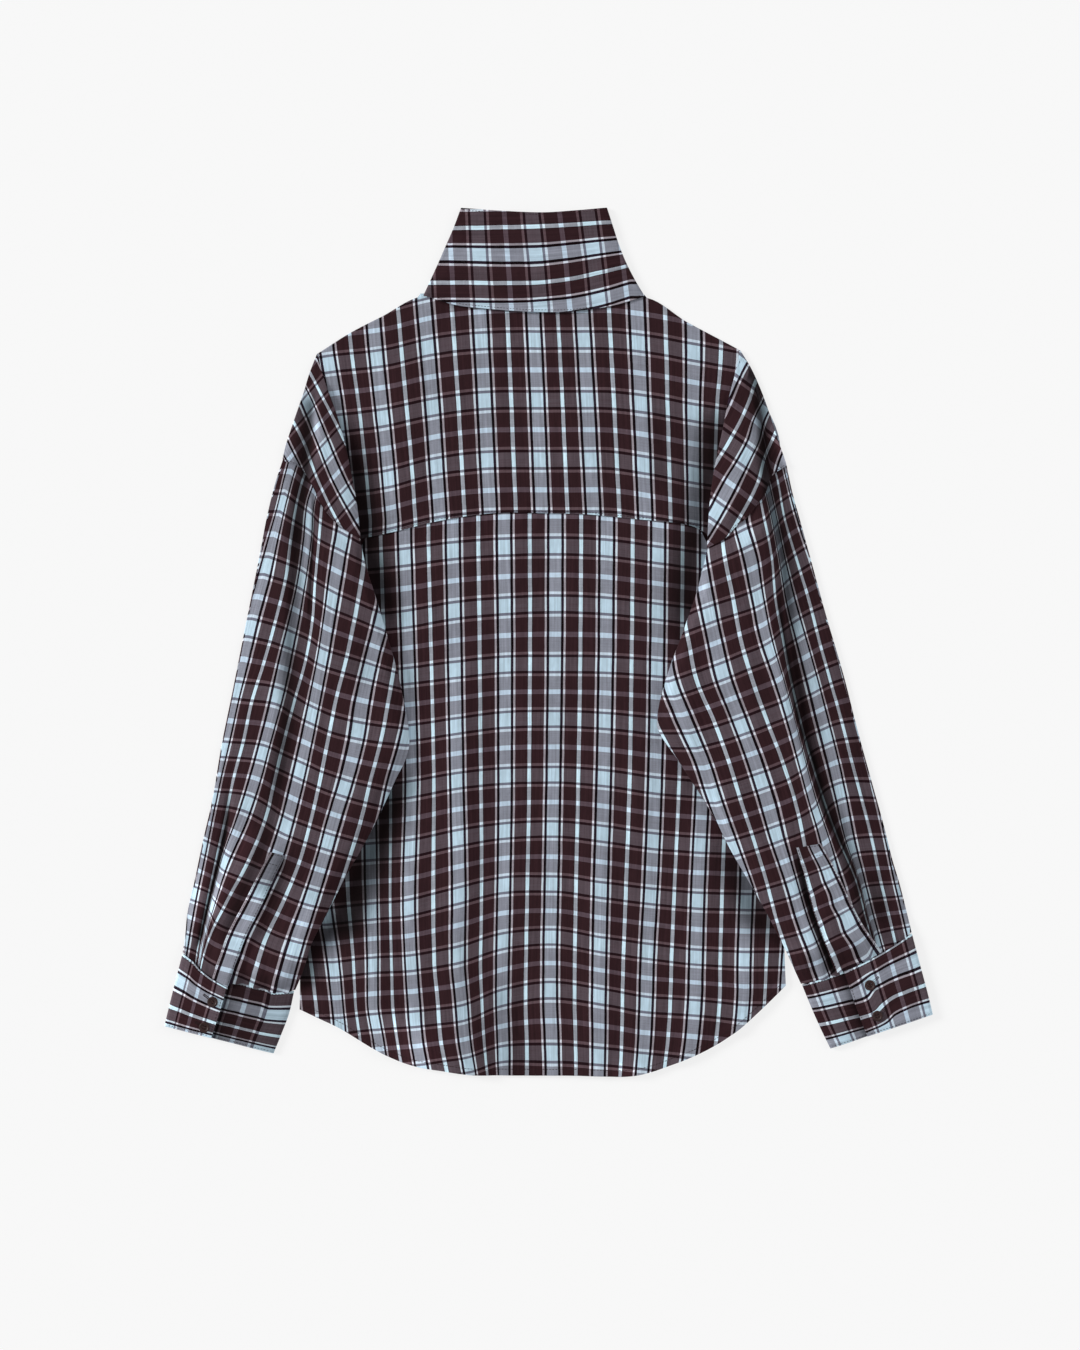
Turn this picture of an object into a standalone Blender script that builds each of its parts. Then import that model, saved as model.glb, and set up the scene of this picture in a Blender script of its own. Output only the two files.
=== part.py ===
"""Oversized checked wrap shirt, laid face down on a surface with its back up.

Metres, +Z up. X runs across the shirt, towards the wearer's right, Y runs from
the hem up to the collar, and Z is the height above the surface it lies on. The
origin is under the middle of the outline, on that surface.

From the surface up: the outer (right) front, the inner (left) front wrapped
under it, the back with its deep yoke, and the two sleeves folded down over the
sides of the body. The sleeves, cuffs and collar are flattened tubes or bands.
"""

import math

import bmesh
import bpy
import numpy as np

# ------------------------------------------------------------------ sizes, mm
WALL = 1.0  # one layer of shirting as a solid wall
COLLAR_WALL = 1.1  # doubled and fused cloth
CUFF_WALL = 1.5
SEAM = 0.3  # between pieces that are sewn together
LIFT = 0.4  # between pieces that lie on each other

BACK_TOP = 3.9  # upper face of the back over both fronts
EDGE_TOP = 2.6  # upper face of the back where it comes down to a side seam
FOLD_EDGE = 2.6  # height of a sleeve's folded edge
UNDER_SLEEVE = BACK_TOP + LIFT  # where a sleeve lies on the body
LANDING = 40.0  # past the body's side, where a sleeve's lower layer comes down
CREASE_STEP = 3.5  # how far in the sleeve's fold drops to the yoke

BUTTON_DIAMETER = 10.0
BUTTON_THICKNESS = 2.2
BUTTON_RIM = 0.5
BUTTON_HOLE = 1.5  # diameter of each of its four holes
BUTTON_HOLE_OFFSET = 1.25  # from the middle, both ways

FLAP_COLUMNS = 12  # shared by the yoke's ends and the sleeves
BODY_COLUMNS = 16
YOKE_ROWS = 8
BACK_COLUMNS = 20
BACK_ROWS = 17
FRONT_COLUMNS = 11
FRONT_ROWS = 15

# ---------------------------------------------------- outlines: share, x, y
# Share is how far along the edge the point lies, from 0 to 1.
YOKE_TOP = (  # shoulder point, neck corner, neck seam, neck corner, shoulder
    (0.00, -215.0, 274.0),
    (0.10, -187.5, 291.5),
    (0.20, -157.5, 307.0),
    (0.29, -118.5, 325.8),
    (0.37, -89.5, 317.8),
    (0.45, -56.5, 314.0),
    (0.60, 11.5, 311.0),
    (0.70, 61.5, 316.8),
    (0.77, 91.0, 324.6),
    (0.85, 130.5, 302.0),
    (0.93, 162.5, 285.0),
    (1.00, 177.5, 277.0),
)
YOKE_SEAM = (
    (0.00, -175.0, 98.5),
    (0.10, -142.0, 105.5),
    (0.20, -110.0, 113.5),
    (0.33, -65.0, 121.0),
    (0.58, 11.0, 122.0),
    (0.80, 83.5, 116.5),
    (0.94, 134.0, 110.5),
    (1.00, 147.0, 104.5),
)
CREASE_LEFT = (  # the fold that lies over the yoke, from the shoulder down
    (0.00, -218.5, 272.0),
    (0.17, -211.0, 242.5),
    (0.31, -202.5, 219.0),
    (0.45, -195.0, 194.5),
    (0.65, -187.5, 160.5),
    (0.87, -181.0, 122.0),
    (1.00, -178.8, 98.8),
)
CREASE_RIGHT = (
    (0.00, 181.0, 275.0),
    (0.12, 177.0, 254.0),
    (0.25, 171.0, 229.0),
    (0.37, 166.5, 206.5),
    (0.49, 162.0, 185.0),
    (0.61, 157.5, 163.5),
    (0.77, 153.5, 135.0),
    (1.00, 150.7, 90.0),
)
DROP_LEFT = (  # silhouette from the sleeve seam up to the shoulder point
    (0.00, -250.8, 173.5),
    (0.13, -248.0, 185.0),
    (0.32, -242.0, 204.0),
    (0.52, -235.5, 223.0),
    (0.66, -231.0, 236.0),
    (0.84, -225.5, 254.0),
    (1.00, -218.5, 272.0),
)
DROP_RIGHT = (
    (0.00, 224.0, 169.0),
    (0.07, 222.0, 175.0),
    (0.23, 215.5, 193.5),
    (0.44, 208.0, 217.0),
    (0.66, 199.5, 240.0),
    (0.86, 190.0, 260.5),
    (1.00, 181.0, 275.0),
)
ARMHOLE_LEFT = (  # outer end to the crease
    (0.00, -250.8, 172.0),
    (0.14, -235.0, 165.5),
    (0.31, -223.5, 149.0),
    (0.51, -213.0, 127.5),
    (0.71, -199.0, 111.5),
    (0.87, -186.5, 102.5),
    (1.00, -178.8, 98.5),
)
ARMHOLE_RIGHT = (
    (0.00, 224.5, 167.0),
    (0.14, 211.0, 157.0),
    (0.28, 205.0, 142.0),
    (0.42, 196.5, 129.5),
    (0.56, 187.0, 117.5),
    (0.70, 175.0, 107.5),
    (0.82, 168.0, 99.0),
    (1.00, 150.7, 89.7),
)
SIDE_LEFT = (  # side seam, from the yoke down to the hem
    (0.00, -175.5, 98.2),
    (0.06, -187.5, 76.0),
    (0.12, -201.0, 49.0),
    (0.18, -214.0, 21.0),
    (0.35, -225.0, -55.0),
    (0.56, -232.0, -149.0),
    (0.77, -234.5, -243.5),
    (1.00, -235.0, -347.0),
)
SIDE_RIGHT = (
    (0.00, 147.5, 104.2),
    (0.06, 160.0, 79.0),
    (0.12, 173.0, 50.0),
    (0.19, 184.5, 21.0),
    (0.38, 203.5, -59.5),
    (0.59, 215.5, -149.0),
    (0.81, 221.5, -243.5),
    (1.00, 224.0, -324.5),
)
HEM = (  # curved shirt tail, left to right
    (0.00, -235.0, -347.0),
    (0.06, -203.5, -362.0),
    (0.14, -170.5, -381.0),
    (0.20, -140.5, -395.0),
    (0.30, -95.0, -407.0),
    (0.42, -41.0, -409.0),
    (0.53, 11.0, -409.5),
    (0.64, 64.5, -410.0),
    (0.76, 124.0, -397.5),
    (0.87, 176.0, -368.0),
    (0.94, 204.0, -344.0),
    (1.00, 224.0, -324.5),
)
FRONT_HEM_RISE = 15.0  # the fronts' hem lies this much inside the back's

# Each front: its outer edge from the shoulder point round the arm and down the
# side, and its free wrap edge from the neck down to the hem.
FRONT_EDGE_LEFT = (
    (0.00, -216.0, 268.0),
    (0.09, -228.0, 236.0),
    (0.22, -246.0, 184.0),
    (0.27, -227.0, 169.0),
    (0.33, -206.0, 130.0),
    (0.40, -178.0, 96.0),
    (0.47, -200.0, 46.0),
    (0.52, -212.0, 19.0),
    (0.63, -223.0, -57.0),
    (0.76, -230.0, -151.0),
    (0.88, -232.5, -240.0),
    (1.00, -232.5, -333.0),
)
FRONT_EDGE_RIGHT = (
    (0.00, 178.0, 271.0),
    (0.09, 197.0, 238.0),
    (0.22, 219.0, 181.0),
    (0.27, 206.0, 154.0),
    (0.33, 191.0, 126.0),
    (0.40, 149.0, 90.0),
    (0.47, 171.0, 46.0),
    (0.52, 182.0, 19.0),
    (0.63, 200.5, -57.0),
    (0.76, 212.5, -151.0),
    (0.88, 218.5, -240.0),
    (1.00, 221.0, -312.0),
)
WRAP_EDGE_OF_RIGHT = ((0.0, -45.0, 291.0), (0.5, -80.0, -50.0), (1.0, -108.0, -391.5))
WRAP_EDGE_OF_LEFT = ((0.0, 18.0, 289.0), (0.5, 52.0, -50.0), (1.0, 80.0, -394.0))
NECK_DIP = 22.0  # how far the front neck seam lies below the back one
NECK = (  # neck seam across the back, left to right
    (0.00, -118.5, 327.0),
    (0.14, -89.5, 318.0),
    (0.30, -56.5, 314.0),
    (0.46, -22.5, 311.5),
    (0.62, 11.5, 311.0),
    (0.73, 36.0, 313.0),
    (0.85, 61.5, 317.0),
    (1.00, 91.0, 326.0),
)

# ------------------------------------------------------------------- sleeves
# A row for each section, shoulder to cuff: its outer and inner folded edges,
# how far the section bows towards the cuff, and how high the cloth stands.
# Columns: outer_x, outer_y, inner_x, inner_y, bow, crown.
SLEEVE_LEFT = (
    (-251.0, 171.6, -179.0, 98.2, 0.0, 2.2),
    (-258.5, 148.0, -172.5, 71.5, 3.0, 2.4),
    (-266.0, 117.0, -163.0, 41.5, 2.0, 2.8),
    (-273.5, 77.5, -153.5, 9.5, 0.0, 3.0),
    (-284.5, 22.5, -141.0, -36.0, 0.0, 3.2),
    (-298.0, -45.5, -131.5, -93.5, 0.0, 3.4),
    (-308.5, -97.0, -146.5, -134.0, 0.0, 3.4),
    (-317.0, -147.5, -170.5, -184.0, 1.0, 3.4),
    (-326.0, -187.0, -191.5, -221.0, 3.0, 3.4),
    (-334.5, -227.5, -211.0, -259.5, 5.0, 3.4),
    (-340.5, -254.0, -223.5, -284.0, 8.0, 3.4),
    (-343.0, -275.5, -230.5, -306.0, 10.0, 3.2),
    (-346.0, -296.5, -238.0, -322.5, 11.0, 2.9),
)
SLEEVE_RIGHT = (
    (224.8, 166.6, 151.0, 89.4, 0.0, 2.2),
    (230.5, 139.5, 145.0, 66.0, 3.0, 2.4),
    (237.5, 114.0, 139.0, 44.0, 2.0, 2.8),
    (247.5, 77.5, 127.0, 9.5, 0.0, 3.0),
    (262.0, 24.5, 112.0, -32.0, 0.0, 3.2),
    (278.0, -30.0, 102.5, -75.5, 0.0, 3.4),
    (291.0, -81.0, 124.0, -114.0, 0.0, 3.4),
    (305.5, -134.0, 152.5, -158.5, 1.0, 3.4),
    (315.5, -170.0, 171.0, -194.5, 2.0, 3.4),
    (324.0, -204.0, 190.0, -227.5, 3.0, 3.4),
    (331.0, -227.5, 206.0, -256.0, 4.0, 3.4),
    (336.5, -249.0, 221.5, -286.0, 5.0, 3.2),
    (342.5, -274.0, 238.5, -322.5, 6.0, 2.9),
)
# Largest folds in a sleeve: where each starts and ends (section and share of
# the way across from the outer edge), its depth and half width.
# Columns: from_row, from_share, to_row, to_share, depth, half.
SLEEVE_FOLDS_LEFT = (
    (0.0, 0.25, 5.5, 0.33, 2.6, 9.0),
    (7.0, 0.13, 11.6, 0.13, 2.0, 6.0),
    (7.2, 0.40, 10.0, 0.45, 1.6, 9.0),
)
SLEEVE_FOLDS_RIGHT = (
    (0.0, 0.24, 5.6, 0.25, 2.8, 9.0),
    (7.2, 0.25, 10.6, 0.31, 2.6, 8.0),
    (9.4, 0.72, 12.0, 0.66, 1.8, 6.0),
)
# Soft ridges in the back: top and bottom of each, height and half width.
BACK_RIDGES = (
    (-52.0, -130.0, -64.0, -404.0, 2.2, 20.0),
    (18.0, -60.0, 12.0, -405.0, 2.0, 22.0),
    (92.0, -190.0, 106.0, -398.0, 2.4, 20.0),
    (-132.0, -270.0, -142.0, -390.0, 1.8, 18.0),
    (168.0, -300.0, 172.0, -366.0, 1.6, 16.0),
)

# -------------------------------------------------- collar, cuffs, plackets
COLLAR_ROWS = (  # share of the height, left x and right x, top down
    (0.00, -82.5, 55.0),
    (0.24, -90.0, 61.5),
    (0.42, -96.5, 66.5),
    (0.60, -103.0, 72.5),
    (0.80, -110.5, 81.0),
    (1.00, -118.2, 91.0),
)
COLLAR_TOP = ((0.0, -82.5, 409.7), (0.28, -46.0, 406.8), (0.55, -8.0, 405.3), (0.78, 25.0, 407.2), (1.0, 55.0, 410.0))
COLLAR_END_OF_RIGHT = 0.35  # the outer end reaches here, as a share from the left
COLLAR_END_OF_LEFT = 0.65

# A row for each section, seam to free edge: both folded edges and the bow.
CUFF_LEFT = (
    (-346.3, -297.4, -238.5, -323.6, 11.0),
    (-352.5, -321.0, -244.0, -347.5, 7.0),
    (-358.0, -343.0, -252.0, -369.5, 3.0),
    (-362.7, -362.5, -259.5, -388.5, 0.0),
)
CUFF_RIGHT = (
    (343.0, -275.0, 239.0, -323.6, 6.0),
    (350.0, -302.0, 247.0, -343.0, 4.0),
    (357.0, -328.0, 256.5, -364.5, 2.0),
    (362.7, -351.5, 266.0, -384.0, 0.0),
)
CUFF_LAP_LEFT = 0.43  # where the overlapping end stops, from the outer edge
CUFF_LAP_RIGHT = 0.64
CUFF_UNDERLAP = 0.19  # how far the other end runs on beneath it
# Buttons: share across from the outer edge and share down from the seam.
BUTTONS = (
    ("button_left_upper", "left", 0.35, 0.335),
    ("button_left_lower", "left", 0.345, 0.83),
    ("button_right_upper", "right", 0.47, 0.26),
    ("button_right_lower", "right", 0.49, 0.68),
)
# Placket strip on each sleeve: section row, near and far share across.
PLACKET_LEFT = (
    (7.80, 0.465, 0.565), (8.60, 0.420, 0.555), (9.90, 0.358, 0.512), (11.1, 0.318, 0.465), (12.0, 0.292, 0.445),
)
PLACKET_RIGHT = (
    (8.20, 0.435, 0.598), (9.00, 0.402, 0.625), (10.2, 0.388, 0.675), (11.1, 0.360, 0.695), (12.0, 0.288, 0.700),
)

COLOURS = {  # base colour, roughness: dark brown and pale blue yarn read together
    "cloth": ((0.105, 0.105, 0.125), 0.82),
    "collar": ((0.110, 0.108, 0.128), 0.80),
    "cuff": ((0.100, 0.098, 0.118), 0.80),
    "button": ((0.046, 0.026, 0.024), 0.38),
}


# ------------------------------------------------------------------ helpers
def smooth(t):
    t = np.clip(t, 0.0, 1.0)
    return t * t * (3.0 - 2.0 * t)


def along(table, t):
    """Points of an outline table at the shares t, on a smooth curve through its rows."""
    table = np.asarray(table, float)
    knots, values = table[:, 0], table[:, 1:]
    t = np.clip(np.atleast_1d(np.asarray(t, float)), knots[0], knots[-1])
    slopes = np.gradient(values, knots, axis=0)
    steps = np.diff(values, axis=0) / np.diff(knots)[:, None]
    for k in range(1, len(knots) - 1):
        turning = steps[k - 1] * steps[k] <= 0
        slopes[k][turning] = 0.0
    i = np.clip(np.searchsorted(knots, t, side="right") - 1, 0, len(knots) - 2)
    h = (knots[i + 1] - knots[i])[:, None]
    s = ((t - knots[i]) / (knots[i + 1] - knots[i]))[:, None]
    return (
        (2 * s**3 - 3 * s**2 + 1) * values[i]
        + (s**3 - 2 * s**2 + s) * h * slopes[i]
        + (-2 * s**3 + 3 * s**2) * values[i + 1]
        + (s**3 - s**2) * h * slopes[i + 1]
    )


def patch(top, bottom, left, right, u, v):
    """Points inside four edges that meet at their ends, at the shares u across and v down."""
    u, v = u[None, :, None], v[:, None, None]
    return (
        (1 - v) * top[None] + v * bottom[None]
        + (1 - u) * left[:, None] + u * right[:, None]
        - (1 - u) * (1 - v) * top[0] - u * (1 - v) * top[-1]
        - (1 - u) * v * bottom[0] - u * v * bottom[-1]
    )


def pinned(curve, start, end):
    """A curve moved evenly so that it runs from start to end."""
    t = np.linspace(0, 1, len(curve))[:, None]
    return curve + (1 - t) * (np.array(start) - curve[0]) + t * (np.array(end) - curve[-1])


def spread(count, *breaks):
    """count + 1 shares from 0 to 1 that include the given ones."""
    marks = np.linspace(0, 1, count + 1)
    for b in breaks:
        marks[np.argmin(abs(marks - b))] = b
    return marks


def outside(points, outline):
    """How far each point lies outside a closed outline, or 0 where it is inside."""
    a = np.asarray(outline, float)
    b = np.roll(a, -1, axis=0)
    p = np.asarray(points, float)[..., None, :]
    ab = b - a
    share = np.clip(((p - a) * ab).sum(-1) / np.maximum((ab**2).sum(-1), 1e-9), 0, 1)
    gap = np.sqrt((((a + share[..., None] * ab) - p) ** 2).sum(-1)).min(-1)
    crosses = (a[:, 1] > p[..., 1]) != (b[:, 1] > p[..., 1])
    rise = np.where(ab[:, 1] == 0, 1.0, ab[:, 1])
    where = a[:, 0] + (p[..., 1] - a[:, 1]) * ab[:, 0] / rise
    inside = (crosses & (p[..., 0] < where)).sum(-1) % 2 == 1
    return np.where(inside, 0.0, gap)


def line_distance(x, y, x0, y0, x1, y1):
    """Distance from a straight fold line, and the share along it."""
    dx, dy = x1 - x0, y1 - y0
    share = np.clip(((x - x0) * dx + (y - y0) * dy) / (dx * dx + dy * dy), 0, 1)
    return np.hypot(x - x0 - share * dx, y - y0 - share * dy), share


def material(name, look):
    colour, roughness = COLOURS[look]
    made = bpy.data.materials.new(name)
    made.use_nodes = True
    shader = made.node_tree.nodes["Principled BSDF"]
    shader.inputs["Base Color"].default_value = (*colour, 1.0)
    shader.inputs["Roughness"].default_value = roughness
    shader.inputs["Metallic"].default_value = 0.0
    return made


def add_object(name, mesh, look):
    mesh.materials.append(material(name + "_finish", look))
    made = bpy.data.objects.new(name, mesh)
    SHIRT.objects.link(made)
    return made


def surface(name, grid, look, wall=WALL):
    """A panel: an open grid of points on its upper face, made solid downwards."""
    rows, columns = grid.shape[:2]
    bm = bmesh.new()
    verts = [[bm.verts.new(grid[r, c] * 0.001) for c in range(columns)] for r in range(rows)]
    for r in range(rows - 1):
        for c in range(columns - 1):
            bm.faces.new((verts[r][c], verts[r + 1][c], verts[r + 1][c + 1], verts[r][c + 1]))
    bm.normal_update()
    if sum(f.normal.z for f in bm.faces) < 0:
        bmesh.ops.reverse_faces(bm, faces=bm.faces)
    mesh = bpy.data.meshes.new(name)
    bm.to_mesh(mesh)
    bm.free()
    mesh.shade_smooth()
    made = add_object(name, mesh, look)
    solid = made.modifiers.new("wall", "SOLIDIFY")
    solid.thickness = wall * 0.001
    solid.offset = -1.0
    solid.use_even_offset = True
    solid.use_rim = True
    return made


def loft(name, outer, inner, look, closed):
    """A wall between two sets of rows, as sections by points by (x, y, z).

    With closed, each section is a ring and the piece a tube, open at both ends.
    Without it, each section is a strip, and its two ends are closed off too.
    """
    sections, count = outer.shape[:2]
    bm = bmesh.new()
    a = [[bm.verts.new(p * 0.001) for p in row] for row in outer]
    b = [[bm.verts.new(p * 0.001) for p in row] for row in inner]
    last = count if closed else count - 1
    for s in range(sections - 1):
        for k in range(last):
            n = (k + 1) % count
            bm.faces.new((a[s][k], a[s][n], a[s + 1][n], a[s + 1][k]))
            bm.faces.new((b[s][n], b[s][k], b[s + 1][k], b[s + 1][n]))
        if not closed:
            bm.faces.new((a[s][0], a[s + 1][0], b[s + 1][0], b[s][0]))
            bm.faces.new((a[s + 1][-1], a[s][-1], b[s][-1], b[s + 1][-1]))
    for s, turn in ((0, 1), (sections - 1, -1)):
        for k in range(last):
            n = (k + 1) % count
            rim = (a[s][n], a[s][k], b[s][k], b[s][n])
            bm.faces.new(rim[::turn])
    bmesh.ops.recalc_face_normals(bm, faces=bm.faces)
    mesh = bpy.data.meshes.new(name)
    bm.to_mesh(mesh)
    bm.free()
    mesh.shade_smooth()
    return add_object(name, mesh, look)


def thickened(path, wall):
    """Both faces of a bent strip, from the middle line of its wall as (across, height)."""
    path = np.asarray(path, float)
    ways = np.diff(path, axis=0)
    ways /= np.linalg.norm(ways, axis=1)[:, None]
    before = np.vstack((ways[:1], ways))
    after = np.vstack((ways, ways[-1:]))
    normals = np.column_stack((-(before + after)[:, 1], (before + after)[:, 0]))
    normals /= np.linalg.norm(normals, axis=1)[:, None]
    cosines = np.clip((normals * np.column_stack((-after[:, 1], after[:, 0]))).sum(1), 0.6, 1)
    step = normals * (wall / 2 / cosines)[:, None]
    return path + step, path - step


# ------------------------------------------------------------------- panels
def body_outline():
    """The back's outline, for what lies on it or beside it."""
    t = np.linspace(0, 1, 24)
    return np.vstack((
        along(YOKE_SEAM, t), along(SIDE_RIGHT, t), along(HEM, t)[::-1], along(SIDE_LEFT, t)[::-1],
    ))


def flap_height(c, v, low):
    """Upper face of the yoke beyond its crease, from the silhouette (v 0) to the sleeve seam."""
    seam = sleeve_top_at_seam(c)
    rise = low + (seam - low) * smooth(v / 0.55)
    valley = 1.4 * np.exp(-(((c - 0.25) / 0.09) ** 2)) * smooth((v - 0.35) / 0.4)
    return np.maximum(rise - valley * (1 - smooth((v - 0.85) / 0.15)), low)


def sleeve_top_at_seam(c):
    """Upper face where a sleeve meets the yoke, from its outer edge (0) to the crease (1)."""
    base = FOLD_EDGE + UNDER_SLEEVE * smooth(c / 0.8)
    return base + 2.2 * np.clip(4 * c * (1 - c), 0, 1) ** 0.7


def yoke_grid(flap_columns, body_columns, rows):
    v = np.linspace(0, 1, rows + 1)
    c = np.linspace(0, 1, flap_columns + 1)
    b = spread(body_columns, 0.29, 0.77)
    short = v[:, None]

    def ends(a, z):
        return (1 - short) * np.array(a[:2]) + short * np.array(z[:2])

    left_crease, right_crease = along(CREASE_LEFT, v), along(CREASE_RIGHT, v)
    grids = []
    top, bottom = along(DROP_LEFT, c), along(ARMHOLE_LEFT, c) + (1.4 * SEAM, 2.4 * SEAM)
    left = patch(top, bottom, ends(top[0], bottom[0]), pinned(left_crease, top[-1], bottom[-1]), c, v)
    height = flap_height(c[None, :], v[:, None], EDGE_TOP)
    grids.append(np.dstack((left, height)))

    top, bottom = along(YOKE_TOP, b), along(YOKE_SEAM, b) + (0.0, SEAM)
    near = pinned(left_crease + (CREASE_STEP, 0), top[0], bottom[0])
    far = pinned(right_crease - (CREASE_STEP, 0), top[-1], bottom[-1])
    body = patch(top, bottom, near, far, b, v)
    near_shoulder = smooth((0.31 - b) / 0.06) + smooth((b - 0.75) / 0.06)
    level = BACK_TOP - (BACK_TOP - EDGE_TOP) * near_shoulder[None, :] * (1 - smooth(v[:, None] / 0.12))
    grids.append(np.dstack((body, level)))

    top, bottom = along(DROP_RIGHT, c), along(ARMHOLE_RIGHT, c) + (-1.4 * SEAM, 2.4 * SEAM)
    right = patch(top, bottom, ends(top[0], bottom[0]), pinned(right_crease, top[-1], bottom[-1]), c, v)
    grids.append(np.dstack((right, height))[:, ::-1])
    return np.concatenate(grids, axis=1)


def back_grid(columns, rows):
    u = np.linspace(0, 1, columns + 1)
    v = spread(rows, 0.965)
    top = along(YOKE_SEAM, 0.008 + 0.974 * u) - (0, 1.3 * SEAM)
    bottom = along(HEM, u)
    left = pinned(along(SIDE_LEFT, v), top[0], bottom[0])
    right = pinned(along(SIDE_RIGHT, v), top[-1], bottom[-1])
    flat = patch(top, bottom, left, right, u, v)
    x, y = flat[..., 0], flat[..., 1]
    level = BACK_TOP - (BACK_TOP - EDGE_TOP) * smooth(1 - np.minimum(u, 1 - u) / 0.05)[None, :] * smooth(v / 0.08)[:, None]
    level = level - 0.9 * smooth((v - 0.965) / 0.035)[:, None] * (level > EDGE_TOP + 0.9)
    for x0, y0, x1, y1, height, half in BACK_RIDGES:
        gap, share = line_distance(x, y, x0, y0, x1, y1)
        level = level + height * smooth(share / 0.6) * smooth(1 - gap / (1.6 * half))
    return np.dstack((flat, level))


def neck_y(x):
    """The front neck seam below the collar."""
    t = np.linspace(0, 1, 41)
    line = along(NECK, t)
    share = np.interp(x, line[:, 0], t)
    return np.interp(x, line[:, 0], line[:, 1]) - NECK_DIP * np.sin(math.pi * share)


def front_grid(side, columns, rows):
    """A front's upper face, from its outer edge (column 0) to its wrap edge."""
    left = side == "left"
    sign = -1.0 if left else 1.0
    outer = FRONT_EDGE_LEFT if left else FRONT_EDGE_RIGHT
    wrap = WRAP_EDGE_OF_LEFT if left else WRAP_EDGE_OF_RIGHT
    corner = -118.5 if left else 91.0
    u = spread(columns, 0.3)
    v = np.linspace(0, 1, rows + 1)
    start, end = along(outer, 0)[0], along(wrap, 0)[0]
    x = np.interp(u, (0, 0.3, 1), (start[0], corner - 3 * sign * -1, end[0]))
    shoulder = start[1] + (x - start[0]) / (corner - start[0]) * (322.0 - start[1])
    beyond = (x - corner) * -sign > 0
    y = np.where(beyond, np.minimum(neck_y(x), 322.0) - SEAM, shoulder)
    top = np.column_stack((x, y))
    foot, tip = along(outer, 1)[0], along(wrap, 1)[0]
    hem_x = foot[0] + (tip[0] - foot[0]) * u
    t = np.linspace(0, 1, 61)
    hem = along(HEM, t)
    hem_y = np.interp(hem_x, hem[:, 0], hem[:, 1]) + FRONT_HEM_RISE
    bottom = np.column_stack((hem_x, hem_y))
    near = pinned(along(outer, v), top[0], bottom[0])
    far = pinned(along(wrap, v), top[-1], bottom[-1])
    flat = patch(top, bottom, near, far, u, v)
    level = np.full(flat.shape[:2], WALL)
    if left:  # the inner front rises over the outer one's free edge
        edge = along(WRAP_EDGE_OF_RIGHT, np.linspace(0, 1, 21))[::-1]
        free = np.interp(flat[..., 1], edge[:, 1], edge[:, 0])
        level = level + (WALL + LIFT) * smooth((flat[..., 0] - (free - 46.0)) / 28.0)
    return np.dstack((flat, level))


# ------------------------------------------------------------------ sleeves
def rows_at(table, t):
    """Values of a table of sections at the row numbers t, smoothly between rows."""
    table = np.asarray(table, float)
    keyed = np.column_stack((np.arange(len(table)), table))
    return along(keyed, t)


def fold_depth(folds, rows, share, width):
    """How far the largest folds sink a sleeve's upper face."""
    depth = np.zeros(np.broadcast(rows, share).shape)
    for r0, c0, r1, c1, deep, half in folds:
        part = np.clip((rows - r0) / (r1 - r0), 0, 1)
        middle = c0 + (c1 - c0) * part
        ends = smooth((rows - r0 + 0.6) / 1.2) * smooth((r1 - rows + 0.6) / 1.2)
        depth = depth + deep * ends * np.exp(-(((share - middle) * width / half) ** 2))
    return depth


def sleeve_faces(side, rows, columns):
    """(flat points, lower height, upper height) at sections rows and even columns."""
    table = SLEEVE_LEFT if side == "left" else SLEEVE_RIGHT
    folds = SLEEVE_FOLDS_LEFT if side == "left" else SLEEVE_FOLDS_RIGHT
    armhole = ARMHOLE_LEFT if side == "left" else ARMHOLE_RIGHT
    t = np.asarray(rows, float)
    c = np.asarray(columns, float)
    values = rows_at(table, t)
    outer, inner = values[:, None, 0:2], values[:, None, 2:4]
    bow, crown = values[:, 4][:, None], values[:, 5][:, None]
    way = inner - outer
    width = np.linalg.norm(way, axis=2)
    down = np.dstack((way[..., 1], -way[..., 0])) / width[..., None]
    down = down * np.where(down[..., 1:2] > 0, -1.0, 1.0)
    share = c[None, :, None]
    flat = outer + way * share + down * (bow * 4 * c * (1 - c) / 1.0)[..., None]
    seam = along(armhole, c) - (0.0, 0.0)
    straight = outer[0] + way[0] * c[:, None]
    pull = (1 - smooth(t / 1.6))[:, None, None]
    flat = flat + pull * (seam - straight)[None]
    gap = outside(flat, body_outline())
    lower = UNDER_SLEEVE * (1 - smooth((gap - 5.0) / LANDING))
    base = FOLD_EDGE + lower[:, -1:] * smooth(c[None, :] / 0.8)
    upper = base + crown * np.clip(4 * c * (1 - c), 0, 1)[None, :] ** 0.7
    blend = (1 - smooth(t / 1.2))[:, None]
    upper = upper * (1 - blend) + sleeve_top_at_seam(c)[None, :] * blend
    upper = upper - fold_depth(folds, t[:, None], c[None, :], width)
    upper = np.maximum(upper, lower + 2 * WALL + 0.6)
    return flat, lower, upper


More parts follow.
